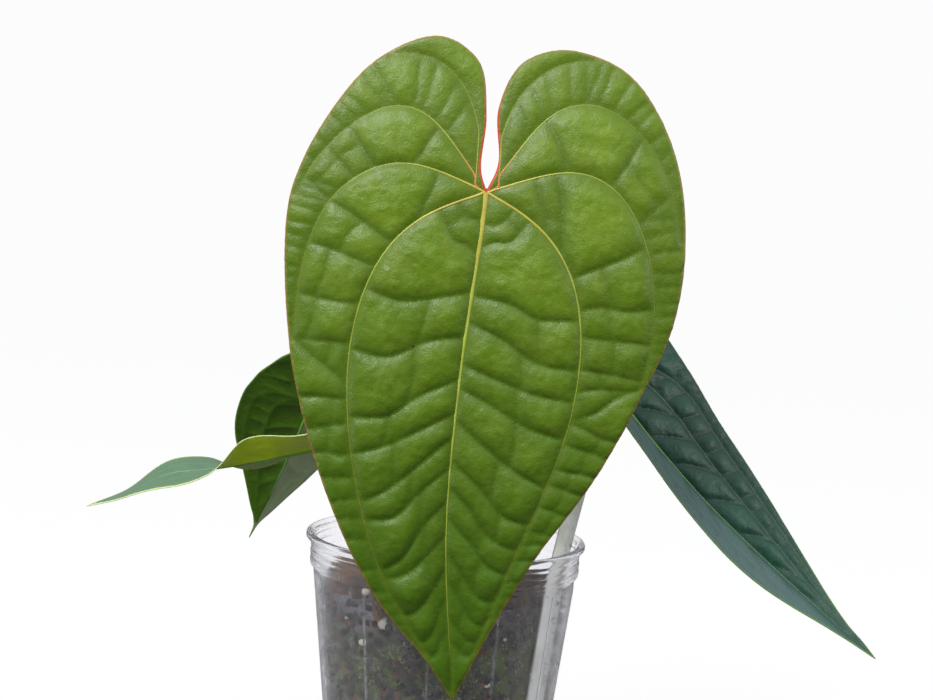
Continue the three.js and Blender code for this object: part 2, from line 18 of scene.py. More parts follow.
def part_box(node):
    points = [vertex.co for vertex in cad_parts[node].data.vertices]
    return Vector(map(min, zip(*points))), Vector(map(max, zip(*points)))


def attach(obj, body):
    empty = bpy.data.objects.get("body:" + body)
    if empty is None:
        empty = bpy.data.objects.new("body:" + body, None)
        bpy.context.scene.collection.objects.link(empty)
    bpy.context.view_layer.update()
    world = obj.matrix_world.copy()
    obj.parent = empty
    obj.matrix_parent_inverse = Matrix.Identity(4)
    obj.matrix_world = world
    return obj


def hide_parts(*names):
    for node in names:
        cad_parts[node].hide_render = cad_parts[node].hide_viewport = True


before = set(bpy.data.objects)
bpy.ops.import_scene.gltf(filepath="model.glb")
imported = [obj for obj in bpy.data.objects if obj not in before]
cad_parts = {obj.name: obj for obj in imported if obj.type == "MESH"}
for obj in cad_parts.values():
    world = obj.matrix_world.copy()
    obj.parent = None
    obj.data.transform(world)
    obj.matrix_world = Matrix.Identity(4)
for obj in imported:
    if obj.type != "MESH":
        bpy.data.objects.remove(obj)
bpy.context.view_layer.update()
MM = 0.001


# ---- small helpers ---------------------------------------------------------------------
def rgb(red, green, blue):
    """A colour from a paint chart, 0 to 255, as the linear values that a shader takes."""
    part = [c / 255 for c in (red, green, blue)]
    return tuple(c / 12.92 if c < 0.04045 else ((c + 0.055) / 1.055) ** 2.4 for c in part) + (1.0,)


def unit(rows):
    return rows / np.maximum(np.linalg.norm(rows, axis=-1, keepdims=True), 1e-12)


def curve_through(where, rows, at):
    """A smooth curve through rows of values set at rising places; straight beyond its ends."""
    where, rows = np.asarray(where, float), np.asarray(rows, float)
    at = np.atleast_1d(np.asarray(at, float))
    gap = np.diff(where)[:, None]
    rise = np.diff(rows, axis=0) / gap
    slope = np.vstack([rise[:1], (rise[:-1] * gap[1:] + rise[1:] * gap[:-1]) / (gap[1:] + gap[:-1]),
                       rise[-1:]])
    k = np.clip(np.searchsorted(where, at, side="right") - 1, 0, len(where) - 2)
    span = gap[k]
    s = (at - where[k])[:, None] / span
    out = ((1 + 2 * s) * (1 - s) ** 2 * rows[k] + s * s * (3 - 2 * s) * rows[k + 1]
           + span * s * (1 - s) * ((1 - s) * slope[k] - s * slope[k + 1]))
    low, high = at < where[0], at > where[-1]
    out[low] = rows[0] + (at[low] - where[0])[:, None] * slope[0]
    out[high] = rows[-1] + (at[high] - where[-1])[:, None] * slope[-1]
    return out


def evenly(points, step):
    """The smooth line through some points, with points about one step apart."""
    points = np.asarray(points, float)
    count = len(points)
    fine = curve_through(range(count), points, np.linspace(0, count - 1, (count - 1) * 16 + 1))
    run = np.concatenate([[0], np.cumsum(np.linalg.norm(np.diff(fine, axis=0), axis=1))])
    where = np.linspace(0, run[-1], max(2, int(round(run[-1] / step)) + 1))
    return np.stack([np.interp(where, run, fine[:, k]) for k in range(points.shape[1])], 1)


def mesh_object(name, corners, faces):
    """A mesh object in metres from corners in millimetres."""
    mesh = bpy.data.meshes.new(name)
    mesh.from_pydata((np.asarray(corners) * MM).tolist(), [], [list(map(int, f)) for f in faces])
    mesh.polygons.foreach_set("use_smooth", [True] * len(mesh.polygons))
    made = bpy.data.objects.new(name, mesh)
    bpy.context.scene.collection.objects.link(made)
    return made


def tube_faces(rows, around):
    """The faces between rings of points, one ring above another."""
    return [(i * around + j, i * around + (j + 1) % around, (i + 1) * around + (j + 1) % around,
             (i + 1) * around + j) for i in range(rows - 1) for j in range(around)]


def sheet_faces(rows, columns):
    """The faces of a closed sheet: its front grid of points, then its back one."""
    wide, back = columns + 1, (rows + 1) * (columns + 1)
    faces = []
    for r in range(rows):
        for c in range(columns):
            a = r * wide + c
            faces.append((a, a + 1, a + wide + 1, a + wide))
            faces.append((back + a, back + a + wide, back + a + wide + 1, back + a + 1))
        a, b = r * wide, (r + 1) * wide
        faces.append((a, b, back + b, back + a))
        a, b = a + columns, b + columns
        faces.append((back + a, back + b, b, a))
    for c in range(columns):
        top = rows * wide + c
        faces.append((c, back + c, back + c + 1, c + 1))
        faces.append((top, top + 1, back + top + 1, back + top))
    return faces


def line_object(name, lines, radii=None):
    """Open lines, in millimetres, as the edges that a Geometry Nodes tree sweeps or turns."""
    corners, edges, sizes = [], [], []
    for i, line in enumerate(lines):
        first = len(corners)
        corners.extend((np.asarray(line) * MM).tolist())
        edges.extend((first + k, first + k + 1) for k in range(len(line) - 1))
        if radii is not None:
            sizes.extend((np.asarray(radii[i]) * MM).tolist())
    mesh = bpy.data.meshes.new(name)
    mesh.from_pydata(corners, edges, [])
    if radii is not None:
        mesh.attributes.new("radius", "FLOAT", "POINT").data.foreach_set("value", sizes)
    made = bpy.data.objects.new(name, mesh)
    bpy.context.scene.collection.objects.link(made)
    return made


def mark(piece, name, values):
    """Stores one number a corner on a piece, for its material or its tree to read."""
    layer = piece.data.attributes.new(name, "FLOAT", "POINT")
    layer.data.foreach_set("value", np.asarray(values, np.float32))


def settle(piece, slot_name, *nodes):
    """The piece stands for some CAD nodes, which it hides, and hangs under the root body; slot_name is not
    used.
    """
    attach(piece, "root")
    if nodes:
        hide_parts(*nodes)
    return piece


# ---- building node trees ---------------------------------------------------------------
def feed_node(tree, node, feeds):
    """Sets a node's inputs, by name or number, each to a value or another node's output."""
    for key, value in feeds.items():
        if isinstance(value, bpy.types.NodeSocket):
            tree.links.new(value, node.inputs[key])
        else:
            node.inputs[key].default_value = value
    return node


def place(tree, kind, feeds=None, **settings):
    node = tree.nodes.new(kind)
    for key, value in settings.items():
        setattr(node, key, value)
    return feed_node(tree, node, feeds or {})


def sockets(tree, takes, gives):
    """The named inputs, each with its kind and first value, and the named outputs of a tree."""
    for name, kind, value in takes:
        socket = tree.interface.new_socket(name, in_out="INPUT", socket_type="NodeSocket" + kind)
        if value is not None:
            socket.default_value = value
    for name, kind in gives:
        tree.interface.new_socket(name, in_out="OUTPUT", socket_type="NodeSocket" + kind)
    return tree.nodes.new("NodeGroupInput").outputs, tree.nodes.new("NodeGroupOutput").inputs


def calc(tree, what, first, second, clamp=False):
    feeds = {0: first, 1: second}
    return place(tree, "ShaderNodeMath", feeds, operation=what, use_clamp=clamp).outputs[0]


def spread(tree, value, low, high, start=0.0, end=1.0):
    """value moved from low..high to start..end, held at both ends."""
    return place(tree, "ShaderNodeMapRange", {0: value, 1: low, 2: high, 3: start, 4: end}).outputs[0]


def tint(tree, share, under, over):
    """over laid on under by a share."""
    node = place(tree, "ShaderNodeMix", None, data_type="RGBA", clamp_factor=True)
    return feed_node(tree, node, {0: share, 6: under, 7: over}).outputs[2]


# ---- shader effects that several finishes share ----------------------------------------
def make_fine_pebble():
    """Close, low pebbling like the skin of a leaf or worn plastic, as a height."""
    tree = bpy.data.node_groups.new("fine_pebble", "ShaderNodeTree")
    given, out = sockets(tree, [("Place", "Vector", None), ("Size", "Float", 900.0),
                                ("Roughen", "Float", 0.5)], [("Height", "Float")])
    cells = place(tree, "ShaderNodeTexVoronoi", {"Vector": given["Place"], "Scale": given["Size"]},
                  feature="SMOOTH_F1")
    cells.inputs["Smoothness"].default_value = 0.8
    grain = place(tree, "ShaderNodeTexNoise", {"Vector": given["Place"], "Detail": 3.0,
                                               "Scale": calc(tree, "MULTIPLY", given["Size"], 1.7)})
    tree.links.new(calc(tree, "ADD", calc(tree, "MULTIPLY", cells.outputs["Distance"], -1.0),
                        calc(tree, "MULTIPLY", grain.outputs[0], given["Roughen"])), out["Height"])
    return tree


def make_slow_drift():
    """A slow, cloudy change from one colour to another."""
    tree = bpy.data.node_groups.new("slow_drift", "ShaderNodeTree")
    given, out = sockets(tree, [("Place", "Vector", None), ("Size", "Float", 30.0),
                                ("First", "Color", (1, 1, 1, 1)), ("Second", "Color", (0, 0, 0, 1)),
                                ("Lean", "Float", 0.5)], [("Colour", "Color"), ("Mask", "Float")])
    cloud = place(tree, "ShaderNodeTexNoise", {"Vector": given["Place"], "Scale": given["Size"],
                                               "Detail": 4.0, "Roughness": 0.6})
    low = calc(tree, "SUBTRACT", 0.72, calc(tree, "MULTIPLY", given["Lean"], 0.44))
    share = place(tree, "ShaderNodeMapRange", {0: cloud.outputs[0], 2: calc(tree, "ADD", low, 0.16),
                                               1: calc(tree, "SUBTRACT", low, 0.16)},
                  interpolation_type="SMOOTHSTEP").outputs[0]
    tree.links.new(tint(tree, share, given["First"], given["Second"]), out["Colour"])
    tree.links.new(share, out["Mask"])
    return tree


def make_specks():
    """Scattered specks and smears of dirt, algae or pale dots, as a mask."""
    tree = bpy.data.node_groups.new("specks", "ShaderNodeTree")
    given, out = sockets(tree, [("Place", "Vector", None), ("Size", "Float", 400.0),
                                ("Cover", "Float", 0.3)], [("Mask", "Float")])
    dots = place(tree, "ShaderNodeTexVoronoi", {"Vector": given["Place"], "Scale": given["Size"]})
    cloud = place(tree, "ShaderNodeTexNoise", {"Vector": given["Place"], "Detail": 5.0,
                                               "Scale": calc(tree, "MULTIPLY", given["Size"], 0.22)})
    near = spread(tree, dots.outputs["Distance"], 0.16, 0.34, 1.0, 0.0)
    edge = calc(tree, "SUBTRACT", 0.8, calc(tree, "MULTIPLY", given["Cover"], 0.55))
    region = place(tree, "ShaderNodeMapRange", {0: cloud.outputs[0], 1: edge,
                                                2: calc(tree, "ADD", edge, 0.08)}).outputs[0]
    tree.links.new(calc(tree, "MULTIPLY", near, region, clamp=True), out["Mask"])
    return tree


FINE_PEBBLE = make_fine_pebble()
SLOW_DRIFT = make_slow_drift()
SPECKS = make_specks()


class Finish:
    """One material: a Principled surface and the nodes that feed it."""

    def __init__(self, name, **constants):
        self.material = bpy.data.materials.new(name)
        self.material.use_nodes = True
        self.tree = self.material.node_tree
        self.skin = next(n for n in self.tree.nodes if n.type == "BSDF_PRINCIPLED")
        for key, value in constants.items():
            self.skin.inputs[key.replace("_", " ")].default_value = value
        self.where = place(self.tree, "ShaderNodeTexCoord").outputs["Object"]

    def use(self, group, **feeds):
        node = place(self.tree, "ShaderNodeGroup", None, node_tree=group)
        return feed_node(self.tree, node, {"Place": self.where, **feeds}).outputs

    def layer(self, name):
        return place(self.tree, "ShaderNodeAttribute", None, attribute_name=name).outputs["Fac"]

    def stretched(self, across, along):
        """The piece's own place, drawn out along its height."""
        return place(self.tree, "ShaderNodeMapping", {0: self.where, 3: (across, across, along)}).outputs[0]

    def feed(self, **feeds):
        for key, value in feeds.items():
            self.tree.links.new(value, self.skin.inputs[key.replace("_", " ")])

    def bump(self, height, depth, strength):
        node = place(self.tree, "ShaderNodeBump", {"Height": height, "Distance": depth * MM,
                                                   "Strength": strength})
        self.tree.links.new(node.outputs[0], self.skin.inputs["Normal"])


# ---- leaf finishes ---------------------------------------------------------------------
def leaf_finish(name, crown, valley_shade, low, under, rim, blush, halo, roughness, coat, sheen, low_share,
                shine, pale=(0, 0, 0, 1)):
    """A leaf blade: pillows (crown) lighter than the sunken veins (valley), whose darker colour in
    the creases is painted shade; mottled with the halo colour, turning to low by low_share
    towards the tip, on the front leaf a darker tip that is partly painted shade; with a thin rim,
    its own underside, and a lighter tint of painted light where a part is lit or catches a sheen."""
    made = Finish(name, Roughness=roughness, Coat_Weight=coat, Coat_Roughness=0.34,
                  Sheen_Weight=sheen, Sheen_Roughness=0.45, Sheen_Tint=(0.72, 0.86, 0.95, 1),
                  Specular_IOR_Level=shine)
    tree = made.tree
    cloud = made.use(SLOW_DRIFT, Size=34.0, First=crown, Lean=0.5,
                     Second=tuple(0.82 * c for c in crown[:3]) + (1,))["Colour"]
    mottle = made.use(SLOW_DRIFT, Size=260.0, Lean=0.4)["Mask"]
    patch = made.use(SLOW_DRIFT, Size=75.0, Lean=0.35)["Mask"]
    face = tint(tree, calc(tree, "MULTIPLY", mottle, 0.24), cloud, halo)
    face = tint(tree, calc(tree, "MULTIPLY", patch, 0.26), face, halo)
    # Painted shade: the valley colour darkens the creases between the pillows, where shade falls.
    face = tint(tree, spread(tree, made.layer("pillow"), 0.0, 0.75, 0.85, 0.0), face, valley_shade)
    # Towards the tip the blade turns to the low colour. On the front leaf that is darker: partly painted
    # shade where the tip faces down, away from the light.
    face = tint(tree, calc(tree, "MULTIPLY", made.layer("low"), low_share), face, low)
    face = tint(tree, calc(tree, "MULTIPLY", made.layer("halo"), 0.14), face, halo)
    # Underside colour. On the twisted leaf it is brightened as painted light, shining through the thin blade.
    below = made.use(SLOW_DRIFT, Size=60.0, First=under, Lean=0.5,
                     Second=tuple(0.78 * c for c in under[:3]) + (1,))["Colour"]
    face = tint(tree, made.layer("under"), face, below)
    # Painted light: the lighter tint lies where a part of the blade is painted as lit or catching a sheen.
    face = tint(tree, made.layer("pale"), face, pale)
    face = tint(tree, made.layer("rim"), face, rim)
    face = tint(tree, made.layer("blush"), face, blush)
    made.feed(Base_Color=face)
    made.feed(Roughness=spread(tree, mottle, 0.0, 1.0, roughness - 0.05, roughness + 0.1))
    pebble = made.use(FINE_PEBBLE, Size=1300.0, Roughen=0.8)["Height"]
    ripple = made.use(FINE_PEBBLE, Size=380.0, Roughen=0.9)["Height"]
    made.bump(calc(tree, "ADD", pebble, calc(tree, "MULTIPLY", ripple, 1.3)), 0.13, 0.7)
    return made.material


# The front leaf's low colour is darker than its crown: partly painted shade on the tip, which faces down,
# away from the light.
FRESH_LEAF = leaf_finish(
    "fresh_leaf_skin", crown=rgb(90, 118, 8), valley_shade=rgb(60, 84, 1), low=rgb(56, 90, 0),
    under=rgb(126, 152, 70), rim=rgb(132, 108, 44), blush=rgb(190, 44, 20), halo=rgb(128, 142, 40),
    roughness=0.46, coat=0.02, sheen=0.0, low_share=0.9, shine=0.3)
# The dark leaf's lighter tint is a grey-blue painted sheen on the half that turns to the sky.
DARK_LEAF = leaf_finish(
    "dark_leaf_skin", crown=rgb(16, 74, 54), valley_shade=rgb(4, 28, 18), low=rgb(22, 74, 58),
    under=rgb(84, 112, 30), rim=rgb(84, 126, 44), blush=rgb(120, 160, 60), halo=rgb(66, 96, 76),
    roughness=0.42, coat=0.04, sheen=0.05, low_share=0.5, pale=rgb(84, 106, 106), shine=0.3)
# The twisted leaf's underside colour is a bright yellow-green: painted light, as if shining through the thin
# blade.
TWISTED_LEAF = leaf_finish(
    "twisted_leaf_skin", crown=rgb(92, 122, 96), valley_shade=rgb(58, 88, 60), low=rgb(96, 126, 100),
    under=rgb(196, 224, 22), rim=rgb(190, 204, 136), blush=rgb(120, 160, 60), halo=rgb(110, 138, 100),
    roughness=0.46, coat=0.05, sheen=0.1, low_share=0.4, pale=rgb(112, 140, 84), shine=0.25)
# The shaded leaf's lighter tint is painted light on the half that faces the light; it also fades the drip
# tip.
SHADED_LEAF = leaf_finish(
    "shaded_leaf_skin", crown=rgb(44, 72, 44), valley_shade=rgb(30, 50, 30), low=rgb(40, 68, 40),
    under=rgb(54, 84, 4), rim=rgb(90, 124, 50), blush=rgb(120, 160, 60), halo=rgb(84, 118, 84),
    roughness=0.5, coat=0.0, sheen=0.03, low_share=0.4, pale=rgb(196, 212, 168), shine=0.15)


def vein_finish(name, main, warm, dim, roughness=0.45):
    """The ribs of the veins, and the stalks: warmer or dimmer where the piece is marked."""
    made = Finish(name, Roughness=roughness, Coat_Weight=0.1)
    cloud = made.use(SLOW_DRIFT, Size=120.0, First=main, Lean=0.4,
                     Second=tuple(0.8 * c for c in main[:3]) + (1,))["Colour"]
    faded = tint(made.tree, made.layer("fade"), cloud, dim)
    made.feed(Base_Color=tint(made.tree, made.layer("warm"), faded, warm))
    made.bump(made.use(FINE_PEBBLE, Size=1500.0)["Height"], 0.08, 0.5)
    return made.material


FRESH_VEIN = vein_finish("fresh_leaf_vein", rgb(160, 172, 60), rgb(180, 96, 40), rgb(78, 108, 10))
OLD_VEIN = vein_finish("old_leaf_vein", rgb(92, 120, 100), rgb(96, 152, 40), rgb(60, 88, 72))
STALK = vein_finish("stalk_skin", rgb(120, 146, 62), rgb(150, 120, 70), rgb(120, 146, 62), 0.42)


# ---- leaves: designs -------------------------------------------------------------------
# A blade lies on its midrib. `along` is the distance up from the stalk's joint: the lobes are
# above it and the tip is below. Each row is along, the midrib's place, the direction of the
# right half, each half's fold, and each half's curl in degrees for each 10 mm, left then right.
def rolled(degrees):
    """A direction square to X: 0 is up and 90 faces the front."""
    turn = math.radians(degrees)
    return [0, -math.sin(turn), math.cos(turn)]


def midrib(rows, across=None, fold=(5, 5), curl=(0, 0)):
    full = []
    for along, at, *rest in rows:
        own = dict(across=across, fold=fold, curl=curl)
        own.update(rest[0] if rest else {})
        full.append([along, *at, *own["across"], *own["fold"], *own["curl"]])
    return np.array(sorted(full), float)


FRONT = dict(
    midrib=midrib([
        (60, (8, -67, 317)), (0, (8, -79, 257)), (-70, (2, -84, 187)), (-130, (0, -82, 127)),
        (-198, (6, -74, 59)),
    ], across=(1, 0, 0), curl=(-1.5, -1.5)),
    left=[[0, 0], [3, 10], [2, 30], [6, 50], [24, 58], [50, 43], [70, 8], [73, -30], [58, -90],
          [30, -150], [10, -180], [0, -198]],
    right=[[0, 0], [4, 12], [3, 32], [12, 50], [32, 55], [56, 43], [74, 8], [77, -40], [58, -98],
           [32, -144], [12, -177], [0, -198]],
    stalk=[[0.2, -4.4, 101.8], [0.4, -4.6, 108], [1.5, -6, 130], [5, -14, 190], [8, -42, 238],
           [8, -63, 252], [8, -76.4, 256.6]])

# On the smaller leaves both halves share the round of their lobe.
RIGHT_LOBE = [[0, 0], [1.5, 6], [2, 14], [4, 23], [9, 31], [16, 36], [24, 35], [31, 29], [36.5, 19],
              [39.5, 8]]
LEFT_LOBE = [[0, 0], [1, 4], [1.5, 10], [4, 18], [9, 22], [15, 19], [19, 11], [20, 0], [19, -12]]
BACK_LOBE = [[0, 0], [1, 5], [1.2, 11], [3, 18], [8, 24], [14.5, 25], [20, 18.5], [24.5, 8.5], [28, 0],
             [30, -8]]

RIGHT = dict(
    midrib=midrib([
        (38, (34, 18, 229)), (0, (61, 10, 187)), (-65, (102, 0, 139), dict(fold=(23, 19))),
        (-135, (155, -9, 93), dict(fold=(10, 19))), (-176, (186, -12, 69), dict(fold=(10, 19))),
    ], across=(0.45, 0.81, 0.375), fold=(30, 19)),
    left=[*RIGHT_LOBE, [39, -5], [36, -18], [31.5, -32], [30, -45], [31.5, -62], [30.5, -78],
          [27.5, -97], [22, -114], [15, -130], [9, -144], [4.5, -158], [2, -168], [0, -176]],
    right=[*RIGHT_LOBE, [40, -5], [39.5, -20], [38, -34], [34, -56], [30.5, -76], [25.5, -95],
           [20, -111], [13, -130], [8, -144], [4, -157], [2, -168], [0, -176]],
    stalk=[[4.4, 0.2, 101.8], [4.7, 0.5, 108], [7.5, 2, 125], [19, 9, 158], [38, 14.5, 178],
           [51, 14.8, 184], [59, 11.9, 186]])

LEFT = dict(
    midrib=midrib([
        (18, (-28, 8, 151), dict(across=rolled(66), fold=(-5, 15), curl=(50, 0))),
        (0, (-45, 6, 146), dict(across=rolled(72), fold=(-8, 15), curl=(60, 0))),
        (-19, (-64, 3, 142), dict(across=rolled(75), fold=(-8, 15), curl=(25, 0))),
        (-44, (-88, 0, 136), dict(across=rolled(60), fold=(14, 15))),
        (-61, (-104, -3, 133), dict(across=rolled(108), fold=(2, 15))),
        (-75, (-118, -4, 131), dict(across=rolled(120), fold=(0, 4))),
        (-100, (-140, -5, 120), dict(across=rolled(103), fold=(0, 4))),
        (-117, (-154, -5, 115), dict(across=rolled(105), fold=(0, 4))),
    ]),
    left=[*LEFT_LOBE, [17.5, -26], [16, -40], [13, -54], [11, -68], [8.5, -84], [5.2, -97],
          [2.5, -108], [0, -117]],
    right=[*LEFT_LOBE, [18, -26], [16.5, -40], [14.5, -54], [12, -68], [8.5, -84], [5.2, -97],
           [2.5, -108], [0, -117]],
    stalk=[[-4.4, 0.2, 101.8], [-4.9, 0.5, 108], [-9, 1.5, 117], [-22, 4, 130], [-36, 5.5, 139.5],
           [-43.8, 5.6, 144.2]])

BACK = dict(
    midrib=midrib([
        (25, (-59, 42, 175)), (0, (-65, 54, 158)), (-50, (-80, 83, 121)),
        (-96, (-97, 106, 83), dict(fold=(30, 10))),
    ], across=(-0.93, 0.05, 0.3), fold=(46, 10)),
    left=[*BACK_LOBE, [31, -18], [30, -30], [27.5, -40], [23.5, -49], [17.5, -58], [10.5, -68],
          [5, -78], [1.2, -86], [0, -96]],
    right=[*BACK_LOBE, [32, -18], [32, -30], [30.5, -40], [27, -49], [21, -58], [14, -68],
           [7, -78], [1.2, -86], [0, -96]],
    stalk=[[0.2, 4.4, 101.8], [0, 4.8, 108], [-2.5, 9, 120], [-18, 22, 143], [-42, 38, 154.5],
           [-56, 47.5, 156.5], [-64.6, 52.4, 157]])


class Blade:
    """A leaf blade as a curved surface: distances across and along it become places."""

    def __init__(self, design):
        self.rows = design["midrib"]
        self.edges = {-1: np.array(design["left"], float) * [-1, 1], 1: np.array(design["right"], float)}
        self.tip = float(self.edges[1][-1, 1])

    def point(self, across, along, lift=0.0):
        across, along = np.atleast_1d(across).astype(float), np.atleast_1d(along).astype(float)
        where = self.rows[:, 0]
        row = curve_through(where, self.rows[:, 1:], along)
        up = unit(curve_through(where, self.rows[:, 1:4], along + 0.5)
                  - curve_through(where, self.rows[:, 1:4], along - 0.5))
        side = row[:, 3:6]
        side = unit(side - (side * up).sum(1, keepdims=True) * up)
        out = np.cross(side, up)
        left = across < 0
        fold = np.radians(np.where(left, row[:, 6], row[:, 7]))
        curl = np.radians(np.where(left, row[:, 8], row[:, 9])) / 10
        curl = np.where(np.abs(curl) < 1e-6, 1e-6, curl)
        far = np.abs(across)
        end = fold + curl * far
        reach = (np.sin(end) - np.sin(fold)) / curl
        height = (np.cos(fold) - np.cos(end)) / curl
        hand = np.where(left, -1.0, 1.0)
        lift = np.broadcast_to(lift, across.shape)
        tilt = np.where(far < 1e-6, 0.0, end)
        return (row[:, :3] + side * (hand * (reach - lift * np.sin(tilt)))[:, None]
                + out * (height + lift * np.cos(tilt))[:, None])

    def outline(self, step):
        """The closed outline: from the joint round the left half to the tip, and back."""
        left, right = evenly(self.edges[-1], step), evenly(self.edges[1], step)
        return np.vstack([left, right[-2:0:-1]])

    def half_width(self, along, hand):
        line = evenly(self.edges[hand], 1.0)
        top = int(np.argmax(line[:, 1]))
        return abs(np.interp(-along, -line[top:, 1], line[top:, 0]))


# ---- leaves: veins ---------------------------------------------------------------------
# The great side veins of the front leaf: each leaves the joint at one angle from the top of the
# midrib and lands on the margin at another, and bends late where its bend is high. Then its
# breadth at the joint.
GREAT_VEINS = {"inner": (112, 179.2, 2.2, 1.3), "middle": (70, 138, 3.5, 1.1),
               "outer": (36, 103, 5.3, 0.9), "top": (12, 40, 5.0, 0.5)}


def great_vein(edge, hand, launch, landing, bend):
    """A line from the joint out to the margin, by its angle and its share of the way out."""
    # The margin past the notch: from the place on the lobe that stands straightest over the joint.
    lean = np.abs(edge[:, 0] / np.maximum(edge[:, 1], 9.0))
    outer = edge[np.argmin(lean + 9.0 * (edge[:, 1] < 25)):]
    angles = np.degrees(np.arctan2(outer[:, 0], outer[:, 1]))
    order = np.argsort(angles)
    share = np.linspace(0, 0.985, 22)
    turn = launch + (landing - launch) * share ** bend
    reach = share * np.interp(turn, angles[order], np.linalg.norm(outer, axis=1)[order])
    across = np.sin(np.radians(turn)) * reach
    along = np.cos(np.radians(turn)) * reach
    clear_of_notch = 4.4
    across = np.where((along > 2) & (along < 46), np.maximum(across, clear_of_notch), across)
    across[0] = 0.6
    return np.stack([hand * across, along], 1)


def quilted_veins(blade, seed):
    """Veins by rule for the big leaf. Great veins spring from the joint; strong ones run like
    rungs between them and crease the blade; slight ones split the panels and comb the margin."""
    random = np.random.default_rng(seed)
    tip = blade.tip
    main = {"midrib": (np.array([[0, 0], [0, tip / 2], [0, tip * 0.985]]), 2.4, 0.5)}
    strong, slight = [], []

    def rungs(first, second, pitch, drop, group, low, high, sag=0.0):
        """Lines from places along the first to the nearest of the second, a drop lower."""
        start, ends = evenly(first, 1.0), evenly(second, 1.0)
        made, run = [], low * len(start)
        while run < high * len(start):
            at = start[int(run)]
            target = at + [0, -drop * random.uniform(0.5, 1.5)]
            end = ends[np.argmin(np.linalg.norm(ends - target, axis=1))]
            gap = np.linalg.norm(end - at)
            if 4 < gap < 48:
                middle = [at + (end - at) * part + [0, -sag * rise * random.uniform(0.6, 1.3)]
                          for part, rise in ((0.33, 0.55), (0.66, 1.0))]
                middle = [m + random.uniform(-0.035, 0.035, 2) * gap for m in middle]
                made.append(np.array([at, *middle, end]))
            run += pitch * random.uniform(0.7, 1.3)
        group += made
        return made

    for hand, side in ((-1, "left"), (1, "right")):
        edge = evenly(blade.edges[hand], 1.0) * [hand, 1]
        great = {}
        for title, (launch, landing, bend, breadth) in GREAT_VEINS.items():
            great[title] = great_vein(edge, hand, launch + random.uniform(-2, 2), landing, bend)
            main[f"{title}_{side}"] = (great[title], breadth, 0.2)
        margin = edge[np.argmax(edge[:, 1]):] * [hand, 1]
        ladders = [rungs(main["midrib"][0], great["inner"], 13.0, 12.0, strong, 0.06, 0.93, 4.0),
                   rungs(great["inner"], great["middle"], 12.0, -1.0, strong, 0.14, 0.5),
                   rungs(great["inner"], margin, 9.5, -4.0, strong, 0.5, 0.86),
                   rungs(great["middle"], great["outer"], 13.0, -6.0, strong, 0.25, 0.6)]
        rungs(great["top"], great["outer"], 9.0, 10.0, slight, 0.5, 0.95)
        rungs(great["middle"], margin, 5.5, -2.0, slight, 0.5, 0.97)
        rungs(great["outer"], margin, 6.5, -3.0, slight, 0.45, 0.95)
        rungs(great["inner"], margin, 5.0, -4.0, slight, 0.86, 0.98)
        for ladder in ladders:
            for above, below in zip(ladder, ladder[1:]):
                share = random.uniform(0.3, 0.7)
                a, b = evenly(above, 1.0), evenly(below, 1.0)
                a, b = a[int(share * (len(a) - 1))], b[int((share + 0.08) * (len(b) - 1))]
                if 4 < np.linalg.norm(a - b) < 24:
                    slight.append(np.array([a, (a + b) / 2 + random.uniform(-1.2, 1.2, 2), b]))
    return main, strong, slight


def grown_veins(blade, pitch, seed):
    """Veins by rule for a small leaf: on each half one vein sweeps to the tip at half the
    breadth and one near the margin; side veins slant out from the midrib, and short ones
    run on to the margin."""
    random = np.random.default_rng(seed)
    tip = blade.tip
    main = {"midrib": ([[0, 0], [0, tip / 2], [0, tip * 0.985]], 1.9, 0.4)}
    strong, slight = [], []
    for hand, side in ((-1, "left"), (1, "right")):
        width = lambda along: blade.half_width(along, hand)
        for title, share, breadth in (("inner", 0.5, 0.5), ("outer", 0.82, 0.3)):
            line = [[0, 0]]
            for part in (0.08, 0.2, 0.35, 0.5, 0.65, 0.8, 0.92):
                along = tip * part
                line.append([hand * width(along) * share * min(1, 0.55 + part * 2.2), along])
            main[f"{title}_{side}"] = (line, breadth, 0.15)
        lobe = blade.edges[hand]
        high = lobe[np.argmax(lobe[:, 1])]
        main[f"lobe_{side}"] = ([[hand * 0.6, 0.5], [high[0] * 0.45, high[1] * 0.5],
                                 [high[0] * 0.95, high[1] * 0.8], [high[0] * 1.5, high[1] * 0.5]], 0.5, 0.15)
        along = -4.0
        while along > tip * 0.88:
            slant = pitch * random.uniform(0.75, 1.0)
            end = along - slant
            inner = width(end) * 0.5
            if end > tip * 0.93:
                strong.append([[0, along], [hand * inner * 0.5, along - slant * 0.42], [hand * inner, end]])
            along -= pitch * random.uniform(0.8, 1.1)
        for start, finish, gap, group in ((0.5, 0.82, 0.55, strong), (0.82, 0.99, 0.34, slight)):
            along = 4.0
            while along > tip * 0.9:
                slant = pitch * 0.2 * random.uniform(0.4, 1.4)
                group.append([[hand * width(along) * start, along],
                              [hand * width(along - slant) * finish, along - slant]])
                along -= pitch * gap * random.uniform(0.75, 1.25)
    return main, strong, slight


# ---- leaves: quilting and mesh ---------------------------------------------------------
def inside(outline, points):
    """Which points lie inside a closed outline."""
    result = np.zeros(len(points), bool)
    x, y = points[:, 0], points[:, 1]
    for a, b in zip(outline, np.roll(outline, -1, axis=0)):
        spans = (a[1] > y) != (b[1] > y)
        if a[1] != b[1]:
            result ^= spans & (x < (b[0] - a[0]) * (y - a[1]) / (b[1] - a[1]) + a[0])
    return result


